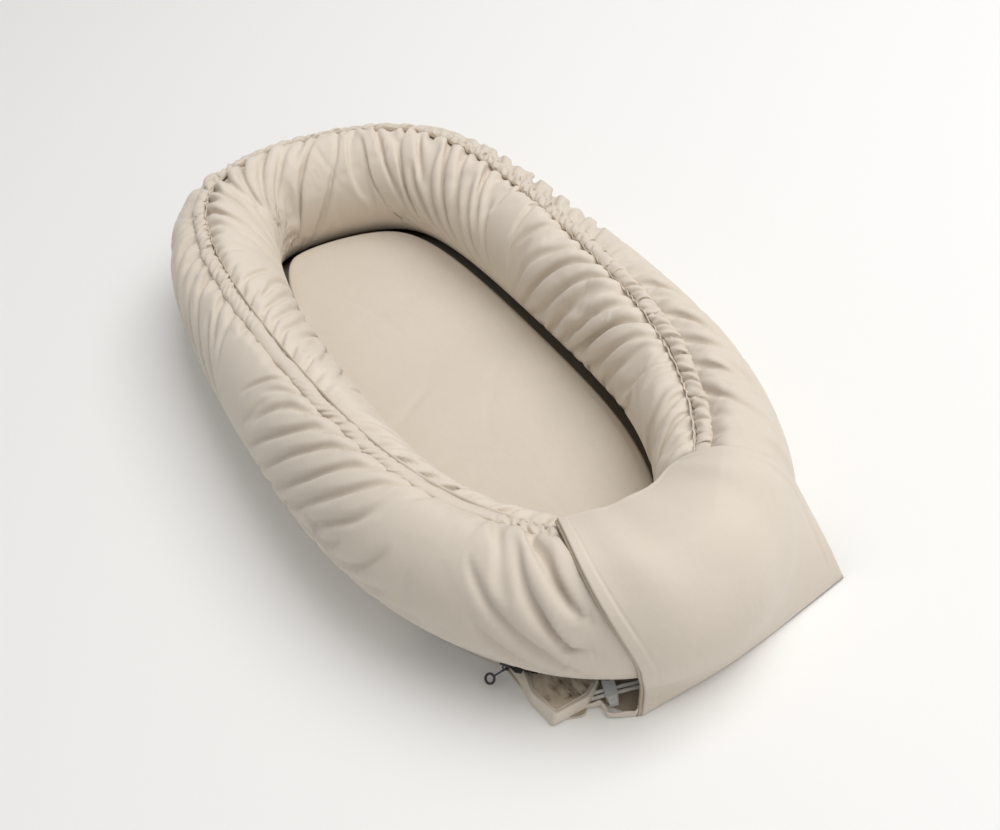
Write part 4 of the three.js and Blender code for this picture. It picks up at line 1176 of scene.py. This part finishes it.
def newMaterial(name, values):
    material = bpy.data.materials.new(name)
    material.use_nodes = True
    shader = material.node_tree.nodes["Principled BSDF"]
    for socket, value in values.items():
        shader.inputs[socket].default_value = value
    return material, material.node_tree, shader


# a colour between a finish's dark and its light tone
def addTone(tree, look, factor):
    colours = {"Factor": factor, "A": (*look["dark"], 1), "B": (*look["light"], 1)}
    return addNode(tree, "Mix", colours, data_type="RGBA").outputs["Result"]


def makeCloth(name, look):
    material, tree, shader = newMaterial(name, {
        "Roughness": look["rough"],
        "Sheen Weight": look["sheen"],
        "Sheen Roughness": look["sheenRough"],
        "Specular IOR Level": look["specular"],
    })
    place = addNode(tree, "TexCoord", {})
    flat = addNode(tree, "Mapping", {"Vector": place.outputs["UV" if look["uv"] else "Object"]})
    woven = {"Vector": flat.outputs["Vector"], "Threads": look["threads"]}
    weaving = addNode(tree, "Group", woven, node_tree=weaveGroup)
    solid = addNode(tree, "Mapping", {"Vector": place.outputs["Object"]})
    patchy = {"Vector": solid.outputs["Vector"], "Scale": look["mottle"]}
    patches = addNode(tree, "Group", patchy, node_tree=mottleGroup)
    slubShare, patchShare = look["shares"]
    part = addNode(tree, "Math", {0: patches.outputs["Value"], 1: patchShare}, operation="MULTIPLY")
    whole = {0: weaving.outputs["Shade"], 1: slubShare, 2: part.outputs[0]}
    shade = addNode(tree, "Math", whole, operation="MULTIPLY_ADD")
    low, high = look["contrast"]
    spread = addNode(tree, "MapRange", {"Value": shade.outputs[0], "From Min": low, "From Max": high})
    tree.links.new(addTone(tree, look, spread.outputs["Result"]), shader.inputs["Base Color"])
    creased = {"Strength": look["creases"], "Distance": mottle["creaseHeight"]}
    creases = addNode(tree, "Bump", {**creased, "Height": patches.outputs["Creases"]})
    threaded = {"Strength": look["weave"], "Distance": weave["height"], "Height": weaving.outputs["Height"]}
    threads = addNode(tree, "Bump", {**threaded, "Normal": creases.outputs["Normal"]})
    tree.links.new(threads.outputs["Normal"], shader.inputs["Normal"])
    return material


def makeHard(name, look):
    material, tree, shader = newMaterial(name, {"Metallic": look["metal"]})
    place = addNode(tree, "TexCoord", {})
    mapping = addNode(tree, "Mapping", {"Vector": place.outputs["Object"]})
    noise = {"Vector": mapping.outputs["Vector"], "Scale": look["grain"], "Detail": look["detail"]}
    grain = addNode(tree, "TexNoise", noise).outputs["Fac"]
    tree.links.new(addTone(tree, look, grain), shader.inputs["Base Color"])
    smoothest, roughest = look["rough"]
    rough = addNode(tree, "MapRange", {"Value": grain, "To Min": smoothest, "To Max": roughest})
    tree.links.new(rough.outputs["Result"], shader.inputs["Roughness"])
    bump = addNode(tree, "Bump", {"Strength": look["bump"], "Distance": look["height"], "Height": grain})
    tree.links.new(bump.outputs["Normal"], shader.inputs["Normal"])
    return material


# the sand cloth's finish, and what the other cloths change in it
sandLook = {
    "uv": False,
    "rough": 0.62,
    "sheen": 0.22,
    "sheenRough": 0.45,
    "specular": 0.36,
    "threads": 9000.0,
    "mottle": 9.0,
    "shares": (0.35, 0.65),
    "contrast": (0.0, 1.0),
    "dark": (0.635, 0.56, 0.47),
    "light": (0.735, 0.655, 0.555),
    "creases": 0.12,
    "weave": 0.25,
}
clothLooks = {
    "sandCotton": {"uv": True},
    # the inner strip's copy of the sand cloth is lighter: painted light on the tube's inner walls
    "sandInsidePaintedLight": {"uv": True, "dark": (0.675, 0.598, 0.503), "light": (0.775, 0.694, 0.590)},
    "sandFolded": {},
    "liningCotton": {"dark": (0.47, 0.385, 0.28), "light": (0.56, 0.47, 0.355)},
    "shadedLining": {"dark": (0.30, 0.235, 0.16), "light": (0.42, 0.34, 0.25)},
    # brown lining tone with dark mottled patches of painted shade, for the pocket's inner side
    "shadePatchedLining": {
        "mottle": 42.0,
        "contrast": (0.38, 0.56),
        "dark": (0.14, 0.085, 0.04),
        "light": (0.62, 0.53, 0.41),
    },
    "whiteTicking": {"dark": (0.72, 0.71, 0.69), "light": (0.8, 0.79, 0.77)},
    "blackTape": {"dark": (0.012, 0.012, 0.013), "light": (0.022, 0.022, 0.024), "sheen": 0.05},
    "whiteCord": {"dark": (0.68, 0.66, 0.62), "light": (0.8, 0.78, 0.74)},
}
hardLook = {"metal": 0.0, "detail": 4.0, "bump": 0.15, "height": 0.0002}
hardLooks = {
    "darkMetal": {
        "metal": 0.9,
        "grain": 900.0,
        "rough": (0.25, 0.45),
        "dark": (0.02, 0.02, 0.022),
        "light": (0.05, 0.05, 0.054),
    },
    "blackTeeth": {
        "grain": 700.0,
        "rough": (0.3, 0.5),
        "dark": (0.01, 0.01, 0.011),
        "light": (0.025, 0.025, 0.027),
    },
    "paleMoulded": {
        "grain": 400.0,
        "rough": (0.35, 0.5),
        "dark": (0.6, 0.6, 0.59),
        "light": (0.7, 0.7, 0.69),
    },
    "springSteel": {
        "metal": 1.0,
        "grain": 1200.0,
        "rough": (0.25, 0.4),
        "dark": (0.45, 0.45, 0.46),
        "light": (0.6, 0.6, 0.62),
    },
}
finishes = {name: makeCloth(name, {**sandLook, **change}) for name, change in clothLooks.items()}
finishes.update({name: makeHard(name, {**hardLook, **change}) for name, change in hardLooks.items()})


def dress(piece, finish):
    piece.data.materials.clear()
    piece.data.materials.append(finishes[finish])


# each soft piece with its finish, its body, the solids that it stands for and its slot
softPieces = [
    (coverOutside, "sandCotton", "ring", ["cover_outer_panel"], "sateen"),
    # the inner strip wears the lighter copy of the sand cloth, painted light
    (coverInside, "sandInsidePaintedLight", "ring", ["cover_inner_panel"], "sateen"),
    (ruffledCasing, "sandCotton", "ring", ["drawcord_casing"], "sateen"),
    (seamLip, "sandCotton", "ring", [], "sateen"),
    (stuffedTube, "whiteTicking", "ring", ["bolster_insert"], "ticking"),
    (padTop, "sandFolded", "mattress", ["mattress_cover_top"], "sateen"),
    (padFilling, "whiteTicking", "mattress", ["mattress_core"], "ticking"),
    (padUnderside, "sandFolded", "mattress", ["mattress_cover_bottom"], "sateen"),
    (flapFaceCloth, "sandCotton", "flap", ["flap_face"], "sateen"),
    (flapLiningCloth, "liningCotton", "flap", ["flap_lining"], "lining"),
    (baseSheet, "sandFolded", "ring", ["base_bottom_panel"], "sateen"),
    (pocketWall, "sandFolded", "ring", [], "sateen"),
    # the pocket's inner side: brown lining with patches of painted shade
    (pocketInside, "shadePatchedLining", "ring", [], "lining"),
    (zigzagHem, "sandFolded", "ring", [], "sateen"),
    (loosenedTape, "blackTape", "ring", [], "zip_tape"),
    (baseLiningSheet, "shadedLining", "ring", ["base_lining"], "lining"),
    (baseBand, "sandFolded", "ring", ["base_edge_band"], "sateen"),
    (ringFloor, "liningCotton", "ring", ["platform_panel"], "lining"),
    (tapeCover, "blackTape", "ring", ["zip_tape_cover_side"], "zip_tape"),
    (tapeBase, "blackTape", "ring", ["zip_tape_base_side"], "zip_tape"),
    (cordLine, "whiteCord", "ring", ["drawcord"], "cord"),
]
for piece, finish, body, solids, slot in softPieces:
    dress(piece, finish)
    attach(piece, body)
    if solids:
        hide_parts(*solids)

# the solids that stay, by finish
hardNodes = {
    "blackTeeth": ["zip_teeth_cover_side", "zip_teeth_base_side"],
    "darkMetal": ["zip_stop_cover_side", "zip_stop_base_side", "zip_end_stop", "zip_slider", "zip_puller"],
    "paleMoulded": ["cord_lock_body", "cord_lock_button"],
    "springSteel": ["cord_lock_spring"],
}
for finish, names in hardNodes.items():
    for name in names:
        dress(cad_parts[name], finish)

print("pieces dressed")

# floor, light and background; a lamp is its power, its size and its place
stage = {
    "floorRadius": 2.6,
    "floorSides": 96,
    "floorColour": (0.90, 0.893, 0.877),
    "floorRough": 0.9,
    "floorSpecular": 0.1,
    "worldColour": (1, 0.995, 0.985),
    "world": 0.42,
    "key": (116.0, 3.0, (1.7, -0.6, 3.6)),
    "fill": (6.0, 2.0, (0.3, -2.2, 1.3)),
    "target": (0, 0, 0.05),
}


def addFloor():
    shape = bmesh.new()
    bmesh.ops.create_circle(shape, cap_ends=True, segments=stage["floorSides"], radius=stage["floorRadius"])
    mesh = bpy.data.meshes.new("studioFloor")
    shape.to_mesh(mesh)
    shape.free()
    floor = bpy.data.objects.new("studioFloor", mesh)
    bpy.context.scene.collection.objects.link(floor)
    values = {"Base Color": (*stage["floorColour"], 1), "Roughness": stage["floorRough"]}
    values["Specular IOR Level"] = stage["floorSpecular"]
    mesh.materials.append(newMaterial("paleFloor", values)[0])


# the camera and glossy surfaces see the background at full strength
def addWorld():
    world = bpy.data.worlds.new("studio")
    bpy.context.scene.world = world
    world.use_nodes = True
    tree = world.node_tree
    path = addNode(tree, "LightPath", {})
    rays = {0: path.outputs["Is Camera Ray"], 1: path.outputs["Is Glossy Ray"]}
    seen = addNode(tree, "Math", rays, operation="MAXIMUM")
    strength = addNode(tree, "MapRange", {"Value": seen.outputs[0], "To Min": stage["world"], "To Max": 1.0})
    back = tree.nodes["Background"]
    back.inputs["Color"].default_value = (*stage["worldColour"], 1)
    tree.links.new(strength.outputs["Result"], back.inputs["Strength"])


def addLamp(name, power, size, place):
    data = bpy.data.lights.new(name, "AREA")
    data.energy = power
    data.size = size
    lamp = bpy.data.objects.new(name, data)
    lamp.location = place
    towards = Vector(stage["target"]) - Vector(place)
    lamp.rotation_euler = towards.to_track_quat("-Z", "Y").to_euler()
    bpy.context.scene.collection.objects.link(lamp)


addFloor()
addWorld()
addLamp("keyLamp", *stage["key"])
addLamp("fillLamp", *stage["fill"])
bpy.context.scene.view_settings.view_transform = "Standard"
